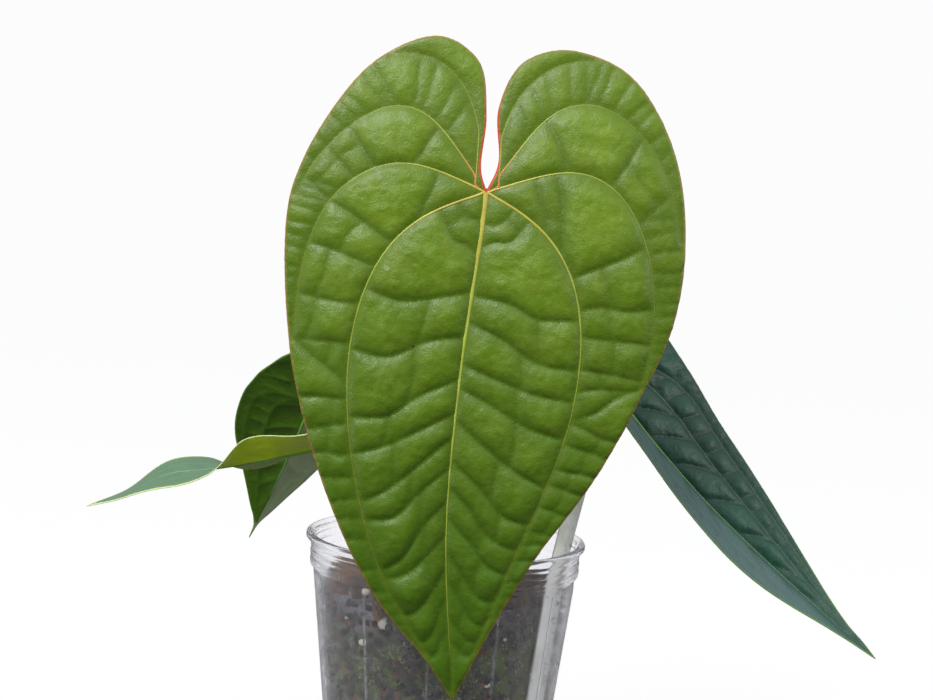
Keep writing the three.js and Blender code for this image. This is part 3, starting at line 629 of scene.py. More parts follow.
class Quilt:
    """The pillowed relief of a blade: a skin blown up between the veins that hold it down."""
    CELL = 0.5
    ROUNDS = 320

    def __init__(self, outline, held_lines):
        self.low = outline.min(0) - 3 * self.CELL
        size = np.ceil((outline.max(0) + 3 * self.CELL - self.low) / self.CELL).astype(int) + 1
        columns, rows = np.meshgrid(np.arange(size[0]), np.arange(size[1]))
        centres = np.stack([columns.ravel(), rows.ravel()], 1) * self.CELL + self.low
        within = inside(outline, centres).reshape(size[1], size[0])
        hold = np.full(within.shape, 0.004, np.float32)
        for line, strength in held_lines:
            spot = (evenly(line, self.CELL * 0.5) - self.low) / self.CELL
            base = np.floor(spot).astype(int)
            part = spot - base
            for dx in (0, 1):
                for dy in (0, 1):
                    share = np.abs(1 - dx - part[:, 0]) * np.abs(1 - dy - part[:, 1])
                    np.add.at(hold, (np.clip(base[:, 1] + dy, 0, size[1] - 1),
                                     np.clip(base[:, 0] + dx, 0, size[0] - 1)), share * strength)
        height = np.zeros(within.shape, np.float32)
        square = self.CELL ** 2
        sides = [(0, 1), (0, -1), (1, 1), (1, -1)]
        open_side = [np.roll(within, step, axis) for axis, step in sides]
        for _ in range(self.ROUNDS):
            total = sum(np.where(is_open, np.roll(height, step, axis), height)
                        for (axis, step), is_open in zip(sides, open_side))
            height = np.where(within, (total + square) / (4 + hold * square), 0)
        self.height = height

    def at(self, points):
        spot = (points - self.low) / self.CELL
        base = np.clip(np.floor(spot).astype(int), 0, np.array(self.height.shape[::-1]) - 2)
        part = spot - base
        x, y = base[:, 0], base[:, 1]
        h = self.height
        return ((h[y, x] * (1 - part[:, 0]) + h[y, x + 1] * part[:, 0]) * (1 - part[:, 1])
                + (h[y + 1, x] * (1 - part[:, 0]) + h[y + 1, x + 1] * part[:, 0]) * part[:, 1])


def nearest(points, lines):
    """How far each point is from the nearest of some lines."""
    samples = np.vstack([evenly(line, 0.4) for line in lines])
    tree = KDTree(len(samples))
    for i, (x, y) in enumerate(samples):
        tree.insert((x, y, 0), i)
    tree.balance()
    return np.array([tree.find((x, y, 0))[2] for x, y in points])


class Leaf:
    """A blade's skin, and the ribs of its veins standing on it. puff is the height of the pillows
    on the left and right halves, and soft how slowly they rise. The holds say how hard each kind
    of vein pulls the blown-up skin down."""
    THICK = 0.5
    HOLD_MAIN, HOLD_STRONG, HOLD_SLIGHT = 14.0, 3.2, 1.1

    def __init__(self, name, design, veins, skin, vein_skin, step, puff, soft, edge_hold, seed,
                 blush=0.0, pale=None, pale_face="under"):
        self.blade = Blade(design)
        self.name, self.step, self.puff, self.soft, self.seed = name, step, puff, soft, seed
        self.main, self.strong, self.slight = veins
        self.outline = self.blade.outline(step)
        held = [(line, self.HOLD_MAIN) for line, _, _ in self.main.values()]
        held += [(line, self.HOLD_STRONG) for line in self.strong]
        held += [(line, self.HOLD_SLIGHT) for line in self.slight]
        held += [(np.vstack([self.outline, self.outline[:1]])[::2], edge_hold)]
        self.quilt = Quilt(self.outline, held)
        self.skin = self.make_skin(skin, blush, pale, pale_face)
        self.ribs = self.make_ribs(vein_skin, blush)

    def relief(self, points):
        """The height of the upper face above the plain blade, and its share of the most."""
        share = 1 - np.exp(-self.quilt.at(points) / self.soft)
        wander = np.array([noise.fractal((x * 0.09, y * 0.09, self.seed), 0.9, 2.1, 3)
                           for x, y in points])
        cells = np.array([noise.voronoi((x * 0.3 + 0.1 * y, y * 0.3, self.seed))[0][:2]
                          for x, y in points])
        hammered = np.minimum(1, (cells[:, 1] - cells[:, 0]) * 2.0)
        puff = np.where(points[:, 0] < 0, *self.puff) * (0.85 + 0.6 * points[:, 1] / self.blade.tip)
        return puff * share * (1 + 0.3 * wander + 0.06 * hammered), share

    def triangles(self):
        outline, step = self.outline, self.step
        corners, edges = [tuple(p) for p in outline], []
        count = len(outline)
        edges += [(i, (i + 1) % count) for i in range(count)]
        fixed = [outline]
        for line in [v[0] for v in self.main.values()] + self.strong + self.slight:
            points = evenly(line, step)
            points = points[inside(outline, points)]
            if len(points) < 2:
                continue
            apart = np.linalg.norm(points[:, None] - outline[None], axis=2).min(1)
            points = points[apart > 0.35 * step]
            first = len(corners)
            corners += [tuple(p) for p in points]
            edges += [(first + i, first + i + 1) for i in range(len(points) - 1)
                      if np.linalg.norm(points[i + 1] - points[i]) < 1.6 * step]
            fixed.append(points)
        low, high = outline.min(0), outline.max(0)
        rows = np.arange(low[1], high[1], step * 0.866)
        grid = np.array([(x + (r % 2) * step / 2, y) for r, y in enumerate(rows)
                         for x in np.arange(low[0], high[0], step)])
        grid = grid[inside(outline, grid)]
        tree = KDTree(sum(map(len, fixed)))
        for i, (x, y) in enumerate(np.vstack(fixed)):
            tree.insert((x, y, 0), i)
        tree.balance()
        clear = np.array([tree.find((x, y, 0))[2] > 0.55 * step for x, y in grid])
        corners += [tuple(p) for p in grid[clear]]
        made = delaunay_2d_cdt([Vector(c) for c in corners], edges, [], 0, 1e-4, True)
        points = np.array([tuple(v) for v in made[0]])
        faces = np.array([f for f in made[2] if len(f) == 3])
        centre = points[faces].mean(1)
        faces = faces[inside(outline, centre)]
        a, b, c = points[faces[:, 0]], points[faces[:, 1]], points[faces[:, 2]]
        area = (b[:, 0] - a[:, 0]) * (c[:, 1] - a[:, 1]) - (b[:, 1] - a[:, 1]) * (c[:, 0] - a[:, 0])
        faces = np.where((area > 0)[:, None], faces, faces[:, ::-1])
        return points, faces[np.abs(area) > 1e-5]

    def make_skin(self, skin, blush, pale, pale_face):
        points, faces = self.triangles()
        used = np.unique(faces)
        fresh = np.full(len(points), -1)
        fresh[used] = np.arange(len(used))
        points, faces = points[used], fresh[faces]
        height, share = self.relief(points)
        upper = self.blade.point(points[:, 0], points[:, 1], height + self.THICK / 2)
        lower = self.blade.point(points[:, 0], points[:, 1], height - self.THICK / 2)
        n = len(points)
        pairs = np.sort(np.vstack([faces[:, [0, 1]], faces[:, [1, 2]], faces[:, [2, 0]]]), axis=1)
        _, index, times = np.unique(pairs[:, 0] * n + pairs[:, 1], return_index=True, return_counts=True)
        directed = np.vstack([faces[:, [0, 1]], faces[:, [1, 2]], faces[:, [2, 0]]])[index[times == 1]]
        rim = np.unique(directed)
        place_of = {v: 2 * n + i for i, v in enumerate(rim)}
        outward = np.zeros((n, 2))
        for a, b in directed:
            along = points[b] - points[a]
            away = np.array([along[1], -along[0]]) / max(np.linalg.norm(along), 1e-9)
            outward[a] += away
            outward[b] += away
        bead = points[rim] + unit(outward[rim]) * 0.22
        beads = self.blade.point(bead[:, 0], bead[:, 1], height[rim])
        walls = []
        for a, b in directed:
            pa, pb = place_of[a], place_of[b]
            walls += [(b, a, pa), (b, pa, pb), (pb, pa, n + a), (pb, n + a, n + b)]
        everything = np.vstack([faces, faces[:, ::-1] + n, np.array(walls)])
        piece = mesh_object(self.name, np.vstack([upper, lower, beads]), everything)
        edge_gap = nearest(points, [np.vstack([self.outline, self.outline[:1]])])
        vein_gap = nearest(points, [v[0] for v in self.main.values()])
        rim_mark = np.exp(-(edge_gap / 0.35) ** 2)
        down = np.clip(points[:, 1] / self.blade.tip, 0, 1)
        notch = (np.clip(1 - np.abs(points[:, 0]) / 7, 0, 1) * (points[:, 1] > -3)
                 * np.clip(1.5 - points[:, 1] / 30, 0, 1) * blush)
        red = np.clip(rim_mark * notch * 3, 0, 1)
        ones, zeros = np.ones(len(rim)), np.zeros(len(rim))
        mark(piece, "pillow", np.concatenate([share, share, share[rim]]))
        mark(piece, "halo", np.concatenate([np.exp(-(vein_gap / 1.3) ** 2)] * 2 + [zeros]))
        mark(piece, "rim", np.concatenate([rim_mark, rim_mark, ones]))
        mark(piece, "low", np.concatenate([down, down, down[rim]]))
        mark(piece, "under", np.concatenate([np.zeros(n), np.ones(n), zeros + 0.5]))
        # Where the lighter tint of painted light lies, on the face it is given.
        fair = pale(points[:, 0], down) if pale else np.zeros(n)
        on_upper = pale_face == "upper"
        mark(piece, "pale", np.concatenate([fair * on_upper, fair * (not on_upper), zeros]))
        mark(piece, "blush", np.concatenate([red, red, np.clip(notch[rim] * 2, 0, 1)]))
        piece.data.materials.append(skin)
        return piece

    def make_ribs(self, vein_skin, blush):
        lines, radii, warm, fade = [], [], [], []
        for title, (line, first, last) in self.main.items():
            points = evenly(line, 1.2)
            share = np.linspace(0, 1, len(points))
            radius = (last + (first - last) * (1 - share) ** 1.6) / 2
            height, _ = self.relief(points)
            sink = (0.3 + 0.75 * share ** 3) * radius
            lines.append(self.blade.point(points[:, 0], points[:, 1],
                                          height + self.THICK / 2 - sink))
            radii.append(radius)
            dimming = 1.5 if blush else 0.8
            fade.append(share * 0.35 if title == "midrib" else np.clip(share * dimming - 0.1, 0, 0.85))
            if blush:
                hot = blush if title.startswith(("outer", "top")) else 0.3 * blush
                warm.append(np.clip(1.1 - share * 5, 0, 1) * hot)
            else:
                warm.append(np.clip(1.3 - share * 1.6, 0, 1) * (title == "midrib"))
        return swept(self.name + "_veins", lines, radii, vein_skin, 8, warm, fade)


# ---- Geometry Nodes trees --------------------------------------------------------------
def geometry_tree(name, takes):
    tree = bpy.data.node_groups.new(name, "GeometryNodeTree")
    given, out = sockets(tree, [("Geometry", "Geometry", None), *takes], [("Geometry", "Geometry")])
    return tree, given, out


def finish_tree(tree, shape, material, out, smooth=True):
    shaded = place(tree, "GeometryNodeSetShadeSmooth", {0: shape, 2: smooth}).outputs[0]
    real = place(tree, "GeometryNodeRealizeInstances", {0: shaded}).outputs[0]
    tree.links.new(place(tree, "GeometryNodeSetMaterial", {0: real, 2: material}).outputs[0],
                   out["Geometry"])


def grow(piece, tree, **sizes):
    """Runs a tree on a piece and keeps the result as its plain mesh."""
    run = piece.modifiers.new(tree.name, "NODES")
    run.node_group = tree
    known = {s.name: s.identifier for s in tree.interface.items_tree
             if s.item_type == "SOCKET" and s.in_out == "INPUT"}
    for key, value in sizes.items():
        run[known[key.replace("_", " ")]] = value
    graph = bpy.context.evaluated_depsgraph_get()
    mesh = bpy.data.meshes.new_from_object(piece.evaluated_get(graph), depsgraph=graph)
    piece.modifiers.clear()
    old = piece.data
    piece.data = mesh
    bpy.data.meshes.remove(old)
    mesh.name = piece.name
    mesh.materials.clear()
    mesh.materials.append(sizes["Material"])
    mesh.polygons.foreach_set("material_index", [0] * len(mesh.polygons))
    return piece


def make_swept_limb():
    """A round limb along each line, as thick as the line's own radius says, closed at its ends."""
    tree, given, out = geometry_tree("swept_limb", [("Sides", "Int", 12), ("Material", "Material", None)])
    path = place(tree, "GeometryNodeMeshToCurve", {0: given["Geometry"]}).outputs[0]
    ring = place(tree, "GeometryNodeCurvePrimitiveCircle", {"Resolution": given["Sides"], "Radius": 1.0})
    radius = place(tree, "GeometryNodeInputNamedAttribute", {0: "radius"}, data_type="FLOAT").outputs[0]
    limb = place(tree, "GeometryNodeCurveToMesh", {"Curve": path, "Profile Curve": ring.outputs[0],
                                                   "Scale": radius, "Fill Caps": True}).outputs[0]
    finish_tree(tree, limb, given["Material"], out)
    return tree


def make_turned_shell():
    """A profile of distance and depth turned about +Z, with its poles closed."""
    tree, given, out = geometry_tree("turned_shell", [("Sides", "Int", 96), ("Hub", "Float", 0.01),
                                                      ("Material", "Material", None)])
    profile = place(tree, "GeometryNodeMeshToCurve", {0: given["Geometry"]}).outputs[0]
    hub = place(tree, "GeometryNodeCurvePrimitiveCircle", {"Resolution": given["Sides"],
                                                           "Radius": given["Hub"]})
    shell = place(tree, "GeometryNodeCurveToMesh", {"Curve": hub.outputs[0],
                                                    "Profile Curve": profile}).outputs[0]
    whole = place(tree, "GeometryNodeMergeByDistance", {"Geometry": shell, "Distance": 2e-6}).outputs[0]
    outward = place(tree, "GeometryNodeFlipFaces", {0: whole}).outputs[0]
    finish_tree(tree, outward, given["Material"], out)
    return tree


def make_ring_of():
    """Copies of one piece set round +Z at even turns."""
    tree, given, out = geometry_tree("ring_of", [("Count", "Int", 12), ("Material", "Material", None)])
    points = place(tree, "GeometryNodePoints", {"Count": given["Count"]}).outputs[0]
    index = place(tree, "GeometryNodeInputIndex").outputs[0]
    turn = calc(tree, "MULTIPLY", index, calc(tree, "DIVIDE", 2 * math.pi, given["Count"]))
    spin = place(tree, "ShaderNodeCombineXYZ", {"Z": turn}).outputs[0]
    ring = place(tree, "GeometryNodeInstanceOnPoints", {"Points": points, "Instance": given["Geometry"],
                                                        "Rotation": spin}).outputs[0]
    finish_tree(tree, ring, given["Material"], out)
    return tree


def make_scatter():
    """Broken crumbs over a surface, where its own "share" mark is high: each is a small ball
    squashed, turned and dented at random."""
    tree, given, out = geometry_tree("scatter", [
        ("Density", "Float", 20000.0), ("Smallest", "Vector", (0.001,) * 3),
        ("Largest", "Vector", (0.003,) * 3), ("Detail", "Int", 2), ("Dent", "Float", 0.3),
        ("Sink", "Float", 0.0), ("Seed", "Int", 1), ("Smooth", "Bool", False),
        ("Material", "Material", None)])
    share = place(tree, "GeometryNodeInputNamedAttribute", {0: "share"}, data_type="FLOAT").outputs[0]
    spots = place(tree, "GeometryNodeDistributePointsOnFaces", {
        "Mesh": given["Geometry"], "Density": calc(tree, "MULTIPLY", share, given["Density"]),
        "Seed": given["Seed"]})
    sunk = place(tree, "GeometryNodeSetPosition", {"Geometry": spots.outputs["Points"], "Offset": place(
        tree, "ShaderNodeVectorMath", {0: spots.outputs["Normal"], "Scale": given["Sink"]},
        operation="SCALE").outputs[0]}).outputs[0]
    size = place(tree, "FunctionNodeRandomValue", {0: given["Smallest"], 1: given["Largest"],
                                                   "Seed": given["Seed"]}, data_type="FLOAT_VECTOR")
    spin = place(tree, "FunctionNodeRandomValue", {0: (0, 0, 0), 1: (2 * math.pi,) * 3,
                                                   "Seed": calc(tree, "ADD", given["Seed"], 5)},
                 data_type="FLOAT_VECTOR")
    ball = place(tree, "GeometryNodeMeshIcoSphere", {"Radius": 1.0, "Subdivisions": given["Detail"]})
    crumbs = place(tree, "GeometryNodeInstanceOnPoints", {
        "Points": sunk, "Instance": ball.outputs[0], "Rotation": spin.outputs[0],
        "Scale": size.outputs[0]}).outputs[0]
    real = place(tree, "GeometryNodeRealizeInstances", {0: crumbs}).outputs[0]
    where = place(tree, "GeometryNodeInputPosition").outputs[0]
    rough = place(tree, "ShaderNodeTexNoise", {"Vector": where, "Scale": 700.0, "Detail": 1.0})
    centred = place(tree, "ShaderNodeVectorMath", {0: rough.outputs["Color"], 1: (0.5,) * 3},
                    operation="SUBTRACT").outputs[0]
    dent = place(tree, "ShaderNodeVectorMath", {0: centred, "Scale": calc(
        tree, "MULTIPLY", given["Dent"], 0.004)}, operation="SCALE").outputs[0]
    dented = place(tree, "GeometryNodeSetPosition", {"Geometry": real, "Offset": dent}).outputs[0]
    finish_tree(tree, dented, given["Material"], out, given["Smooth"])
    return tree


SWEPT_LIMB = make_swept_limb()
TURNED_SHELL = make_turned_shell()
RING_OF = make_ring_of()
SCATTER = make_scatter()


def swept(name, lines, radii, material, sides, warm=None, fade=None):
    piece = line_object(name, lines, radii)
    for mark_name, values in (("warm", warm), ("fade", fade)):
        if values is not None:
            mark(piece, mark_name, np.concatenate(values))
    return grow(piece, SWEPT_LIMB, Sides=sides, Material=material)


def turned(name, profile, material, sides):
    hub = 10.0
    line = [(r - hub, -z, 0) for r, z in profile]
    return grow(line_object(name, [line]), TURNED_SHELL, Sides=sides, Hub=hub * MM, Material=material)


# ---- camera, light and floor -----------------------------------------------------------
def straight_view(tree):
    """How far a ray looks straight at the backdrop, through clear plastic too: it sees white
    paper there, while the light that falls on the plant comes from a graded room."""
    rays = place(tree, "ShaderNodeLightPath").outputs
    straight = calc(tree, "MAXIMUM", rays["Is Camera Ray"], rays["Is Transmission Ray"])
    bounced = calc(tree, "MINIMUM", rays["Diffuse Depth"], 1.0)
    return calc(tree, "MULTIPLY", straight, calc(tree, "SUBTRACT", 1.0, calc(
        tree, "MULTIPLY", bounced, 0.55)))


def set_up_studio():
    yaw, pitch, roll = math.radians(0.34), math.radians(-4.66), math.radians(3.2)
    ahead = Vector((math.sin(yaw) * math.cos(pitch), math.cos(yaw) * math.cos(pitch), math.sin(pitch)))
    right = ahead.cross(Vector((0, 0, 1))).normalized()
    up = right.cross(ahead)
    tilted = right * math.cos(roll) + up * math.sin(roll)
    upward = up * math.cos(roll) - right * math.sin(roll)
    camera = bpy.data.objects.new("camera", bpy.data.cameras.new("camera"))
    eye = (0, -0.737, 0.2505)
    camera.data.lens, camera.data.sensor_width = 66.7, 36
    camera.data.clip_start, camera.data.clip_end = 0.05, 30
    turn = Matrix((tilted, upward, -ahead)).transposed().to_4x4()
    camera.matrix_world = Matrix.Translation(eye) @ turn
    bpy.context.scene.collection.objects.link(camera)
    bpy.context.scene.camera = camera
    bpy.context.scene.view_settings.view_transform = "Standard"

    for name, at, aim, size, power in (
            ("main_softbox", (-0.48, -0.95, 1.28), (0, 0, 0.17), 0.6, 27.0),
            ("side_softbox", (1.3, -0.45, 0.75), (0, 0, 0.17), 0.8, 8.0),
            ("low_softbox", (-0.6, -0.35, 0.04), (-0.09, 0, 0.14), 0.25, 1.4)):
        light = bpy.data.objects.new(name, bpy.data.lights.new(name, "AREA"))
        light.data.energy, light.data.size = power, size
        light.location = at
        light.rotation_euler = (Vector(aim) - Vector(at)).to_track_quat("-Z", "Y").to_euler()
        bpy.context.scene.collection.objects.link(light)

    world = bpy.data.worlds.new("studio")
    bpy.context.scene.world = world
    world.use_nodes = True
    tree = world.node_tree
    tree.nodes.clear()
    ray = straight_view(tree)
    height = place(tree, "ShaderNodeSeparateXYZ", {0: place(tree, "ShaderNodeTexCoord").outputs[
        "Generated"]}).outputs["Z"]
    glow = tint(tree, spread(tree, height, -0.1, 0.95), (0.07, 0.07, 0.075, 1), (0.92, 0.96, 1.0, 1))
    around = place(tree, "ShaderNodeBackground", {"Color": glow, "Strength": 1.1}).outputs[0]
    seen = place(tree, "ShaderNodeBackground", {"Color": (0.975, 0.975, 0.975, 1)}).outputs[0]
    mix = place(tree, "ShaderNodeMixShader", {0: ray, 1: around, 2: seen}).outputs[0]
    place(tree, "ShaderNodeOutputWorld", {0: mix})

    far = 6000
    floor = mesh_object("floor", [(-far, -far, 0), (far, -far, 0), (far, far, 0), (-far, far, 0)],
                        [(0, 1, 2, 3)])
    paper = Finish("pale_paper", Roughness=1.0, Specular_IOR_Level=0.0, Base_Color=(0.05, 0.05, 0.05, 1),
                   Emission_Color=(0.97, 0.97, 0.97, 1), Emission_Strength=0.96)
    tree = paper.tree
    ray = straight_view(tree)
    dull = place(tree, "ShaderNodeBsdfDiffuse", {"Color": (0.12, 0.12, 0.12, 1)}).outputs[0]
    ending = next(n for n in tree.nodes if n.type == "OUTPUT_MATERIAL")
    tree.links.new(place(tree, "ShaderNodeMixShader", {0: ray, 1: dull, 2: paper.skin.outputs[0]}
                         ).outputs[0], ending.inputs[0])
    floor.data.materials.append(paper.material)


set_up_studio()

# ---- leaves ----------------------------------------------------------------------------
front = Leaf("front_leaf", FRONT, quilted_veins(Blade(FRONT), 4), FRESH_LEAF, FRESH_VEIN, step=0.86,
             puff=(3.7, 3.7), soft=17.0, edge_hold=0.5, seed=3, blush=1.0)
settle(front.skin, "fresh_leaf", "leaf_blade_front")
settle(front.ribs, "fresh_leaf")


# Where a blade is painted lighter as lit, by the distance from its midrib and the share of the way to its
# tip.
def sheen_strip(across, down):
    """The half that turns to the sky, lighter: a painted sheen."""
    reach = np.where(across < 0, -across, 0) / 14
    return 0.55 * np.clip(reach * 2, 0, 1)


# The half that faces the light, lighter: painted light; and the drip tip, fading lighter towards its end.
def lit_half_and_pale_tip(across, down):
    return np.clip(np.clip(-across * 2, 0, 0.7) + np.clip((down - 0.88) * 12, 0, 1), 0, 1)


# A strip of the lower half, lighter where it catches the light: painted light.
def lit_lower_half(across, down):
    return np.clip(-across * 2, 0, 0.6) * (down < 0.42)


for title, design, veins, puff, seed, skin, pale in (
        ("right", RIGHT, grown_veins(Blade(RIGHT), 20, 5), (1.3, 3.2), 5, DARK_LEAF, sheen_strip),
        ("left", LEFT, grown_veins(Blade(LEFT), 14, 8), (1.4, 1.4), 8, TWISTED_LEAF, lit_lower_half),
        ("back", BACK, grown_veins(Blade(BACK), 14, 11), (1.8, 1.8), 11, SHADED_LEAF, lit_half_and_pale_tip)):
    leaf = Leaf(f"{title}_leaf", design, veins, skin, OLD_VEIN, step=0.8, puff=puff, soft=12.0,
                edge_hold=4.0, seed=seed, pale=pale, pale_face="upper" if title == "right" else "under")
    settle(leaf.skin, "old_leaf", f"leaf_blade_{title}")
    settle(leaf.ribs, "old_leaf")


def stalk(title, route):
    """A leaf stalk: thicker at its foot, swollen below the blade."""
    points = evenly(route, 2.0)
    run = np.linspace(0, 1, len(points))
    length = 2.0 * (len(points) - 1)
    from_knee = (1 - run) * length / 15
    swell = np.where(from_knee < 1, np.sin(np.pi * np.minimum(1, from_knee + 0.25)), 0)
    radius = 2.6 + (1.7 - 2.6) * np.minimum(1, run * 2.2) + 0.7 * swell
    radius = radius * (1 + 0.03 * np.sin(run * length * 0.35))
    warm = np.clip(1 - run * 6, 0, 1) * 0.8
    piece = swept(f"{title}_stalk", [points], [radius], STALK, 20, [warm])
    settle(piece, "stalk", f"leaf_stalk_{title}")


for title, design in (("front", FRONT), ("right", RIGHT), ("left", LEFT), ("back", BACK)):
    stalk(title, design["stalk"])

# ---- pot -------------------------------------------------------------------------------
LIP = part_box("pot")[1].x / MM
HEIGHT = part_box("pot")[1].z / MM
WALL = 1.1
COLLAR = LIP - 2.2
COLLAR_FOOT = 96.5
FOOT_RADIUS, TOP_RADIUS = 45.4, 56.6
RINGS = (98.2, 101.6, 105.0)


def wall_radius(z):
    return FOOT_RADIUS + (TOP_RADIUS - FOOT_RADIUS) * z / COLLAR_FOOT


def pot_finish():
    """Clear plastic a little milky with age: fine upright streaks, and rougher in cloudy patches."""
    made = Finish("clear_pot", Base_Color=rgb(249, 249, 253), Roughness=0.2, IOR=1.22,
                  Transmission_Weight=0.97, Specular_IOR_Level=0.5)
    streaks = place(made.tree, "ShaderNodeTexNoise", {"Vector": made.stretched(1, 0.12), "Scale": 420.0,
                                                      "Detail": 3.0}).outputs[0]
    cloud = made.use(SLOW_DRIFT, Size=55.0, Lean=0.4)["Mask"]
    rough = calc(made.tree, "ADD", spread(made.tree, cloud, 0, 1, 0.1, 0.24),
                 calc(made.tree, "MULTIPLY", streaks, 0.1))
    made.feed(Roughness=rough)
    made.bump(calc(made.tree, "ADD", streaks, made.use(FINE_PEBBLE, Size=700.0)["Height"]), 0.05, 0.35)
    return made.material


CLEAR = pot_finish()


def make_pot():
    """The pot, turned in one piece with a closed base, and the mouldings down its wall."""
    ring = lambda z: [(COLLAR, z - 0.5), (COLLAR + 0.12, z - 0.25), (COLLAR + 0.18, z),
                      (COLLAR + 0.12, z + 0.25), (COLLAR, z + 0.5)]
    outside = [(0, 0), (FOOT_RADIUS - 12, 0), (FOOT_RADIUS - 1.2, 0), (FOOT_RADIUS - 0.4, 0.3),
               (FOOT_RADIUS + 0.1, 1.0)]
    outside += [(wall_radius(z), z) for z in np.linspace(3, COLLAR_FOOT - 1.8, 24)]
    outside += [(wall_radius(COLLAR_FOOT) + 0.2, COLLAR_FOOT - 1.0), (COLLAR - 0.2, COLLAR_FOOT - 0.2),
                (COLLAR, COLLAR_FOOT + 0.4)]
    for z in RINGS:
        outside += ring(z)
    outside += [(COLLAR, HEIGHT - 3.2), (COLLAR + 0.5, HEIGHT - 2.6), (LIP - 0.3, HEIGHT - 2.2),
                (LIP, HEIGHT - 1.8), (LIP, HEIGHT - 0.7), (LIP - 0.25, HEIGHT - 0.2), (LIP - 0.8, HEIGHT)]
    within = COLLAR - WALL
    inner = [(within + 0.6, HEIGHT), (within + 0.1, HEIGHT - 0.4), (within, HEIGHT - 1.2),
             (within, COLLAR_FOOT + 1.2), (within - 0.3, COLLAR_FOOT)]
    inner += [(wall_radius(z) - WALL, z) for z in np.linspace(COLLAR_FOOT - 1.6, 4.5, 24)]
    inner += [(wall_radius(3) - WALL - 0.5, 2.6), (wall_radius(2) - WALL - 1.6, 2), (0, 2)]
    piece = turned("pot_body", outside + inner, CLEAR, 192)
    rib = []
    for z, proud in ((5, -0.3), (6.5, 0.1), (8.5, 0.25), (30, 0.25), (60, 0.25), (89, 0.25),
                     (91, 0.1), (92.5, -0.3)):
        rib.append((wall_radius(z) + proud - 0.55, 0, z))
    line = np.array(rib)
    turn = math.radians(-125)
    flat = evenly(line[:, [0, 0, 2]] * [math.cos(turn), math.sin(turn), 1], 3.0)
    one = swept("pot_ribs", [flat], [np.full(len(flat), 0.62)], CLEAR, 10)
    ribs = grow(one, RING_OF, Count=12, Material=CLEAR)
    settle(piece, "clear_plastic", "pot")
    settle(ribs, "clear_plastic")


make_pot()


# ---- bark mix --------------------------------------------------------------------------
def soil_finish():
    made = Finish("packed_mix", Roughness=0.9, Specular_IOR_Level=0.25)
    tree = made.tree
    grain = made.use(SLOW_DRIFT, Size=240.0, First=rgb(20, 18, 18), Second=rgb(84, 74, 64), Lean=0.5)
    at = place(tree, "ShaderNodeSeparateXYZ", {0: made.where}).outputs
    # Grey patches near the top of the mix, fading towards +X: the grey on the -X side, where the main light
    # stands, is painted light.
    high = calc(tree, "MULTIPLY", spread(tree, at["Z"], 0.066, 0.088, 0.12, 0.85),
                spread(tree, at["X"], -0.03, 0.03, 1.0, 0.35))
    face = tint(tree, calc(tree, "MULTIPLY", made.use(SLOW_DRIFT, Size=70.0, Lean=0.6)["Mask"], high),
                grain["Colour"], rgb(128, 128, 134))
    low = spread(tree, at["Z"], 0.066, 0.082, 1.0, 0.0)
    moss = calc(tree, "MULTIPLY", made.use(SLOW_DRIFT, Size=110.0, Lean=0.55)["Mask"], low)
    face = tint(tree, calc(tree, "MULTIPLY", moss, 0.9), face, rgb(74, 92, 24))
    dark = made.use(SLOW_DRIFT, Size=150.0, Lean=0.35)["Mask"]
    face = tint(tree, calc(tree, "MULTIPLY", dark, 0.7), face, rgb(14, 13, 12))
    face = tint(tree, made.use(SPECKS, Size=900.0, Cover=0.55)["Mask"], face, rgb(178, 172, 158))
    made.feed(Base_Color=face)
    made.bump(made.use(FINE_PEBBLE, Size=600.0, Roughen=1.5)["Height"], 0.6, 0.9)
    return made.material


def crumb_finish(name, first, second, size=160.0):
    made = Finish(name, Roughness=0.85, Specular_IOR_Level=0.3)
    made.feed(Base_Color=made.use(SLOW_DRIFT, Size=size, First=first, Second=second)["Colour"])
    made.bump(made.use(FINE_PEBBLE, Size=900.0, Roughen=1.2)["Height"], 0.35, 0.8)
    return made.material


SOIL = soil_finish()
BARK = crumb_finish("bark_chip", rgb(66, 48, 36), rgb(112, 82, 56), size=90.0)
DARK_CRUMB = crumb_finish("dark_crumb", rgb(22, 20, 20), rgb(72, 62, 54), size=60.0)
PERLITE = crumb_finish("perlite", rgb(226, 220, 202), rgb(196, 188, 172))
MOSS = crumb_finish("moss", rgb(58, 74, 28), rgb(112, 128, 56), size=120.0)

# The label's plane: its turn from +X, its place across the pot, and its X at rising heights. The
# crumbs keep clear of its arc of the wall, in degrees.
LABEL_TURN, LABEL_Y, LABEL_ARC = 0.96, -23.5, (304, 347)
LABEL_LINE = ([9, 80, 97, 117, 142], [[37], [44.5], [46.5], [50], [55]])


def label_depth(z):
    """How far out from the pot's middle the label's plane stands at a height."""
    x = curve_through(*LABEL_LINE, z)[:, 0]
    return math.sin(LABEL_TURN) * x - math.cos(LABEL_TURN) * LABEL_Y


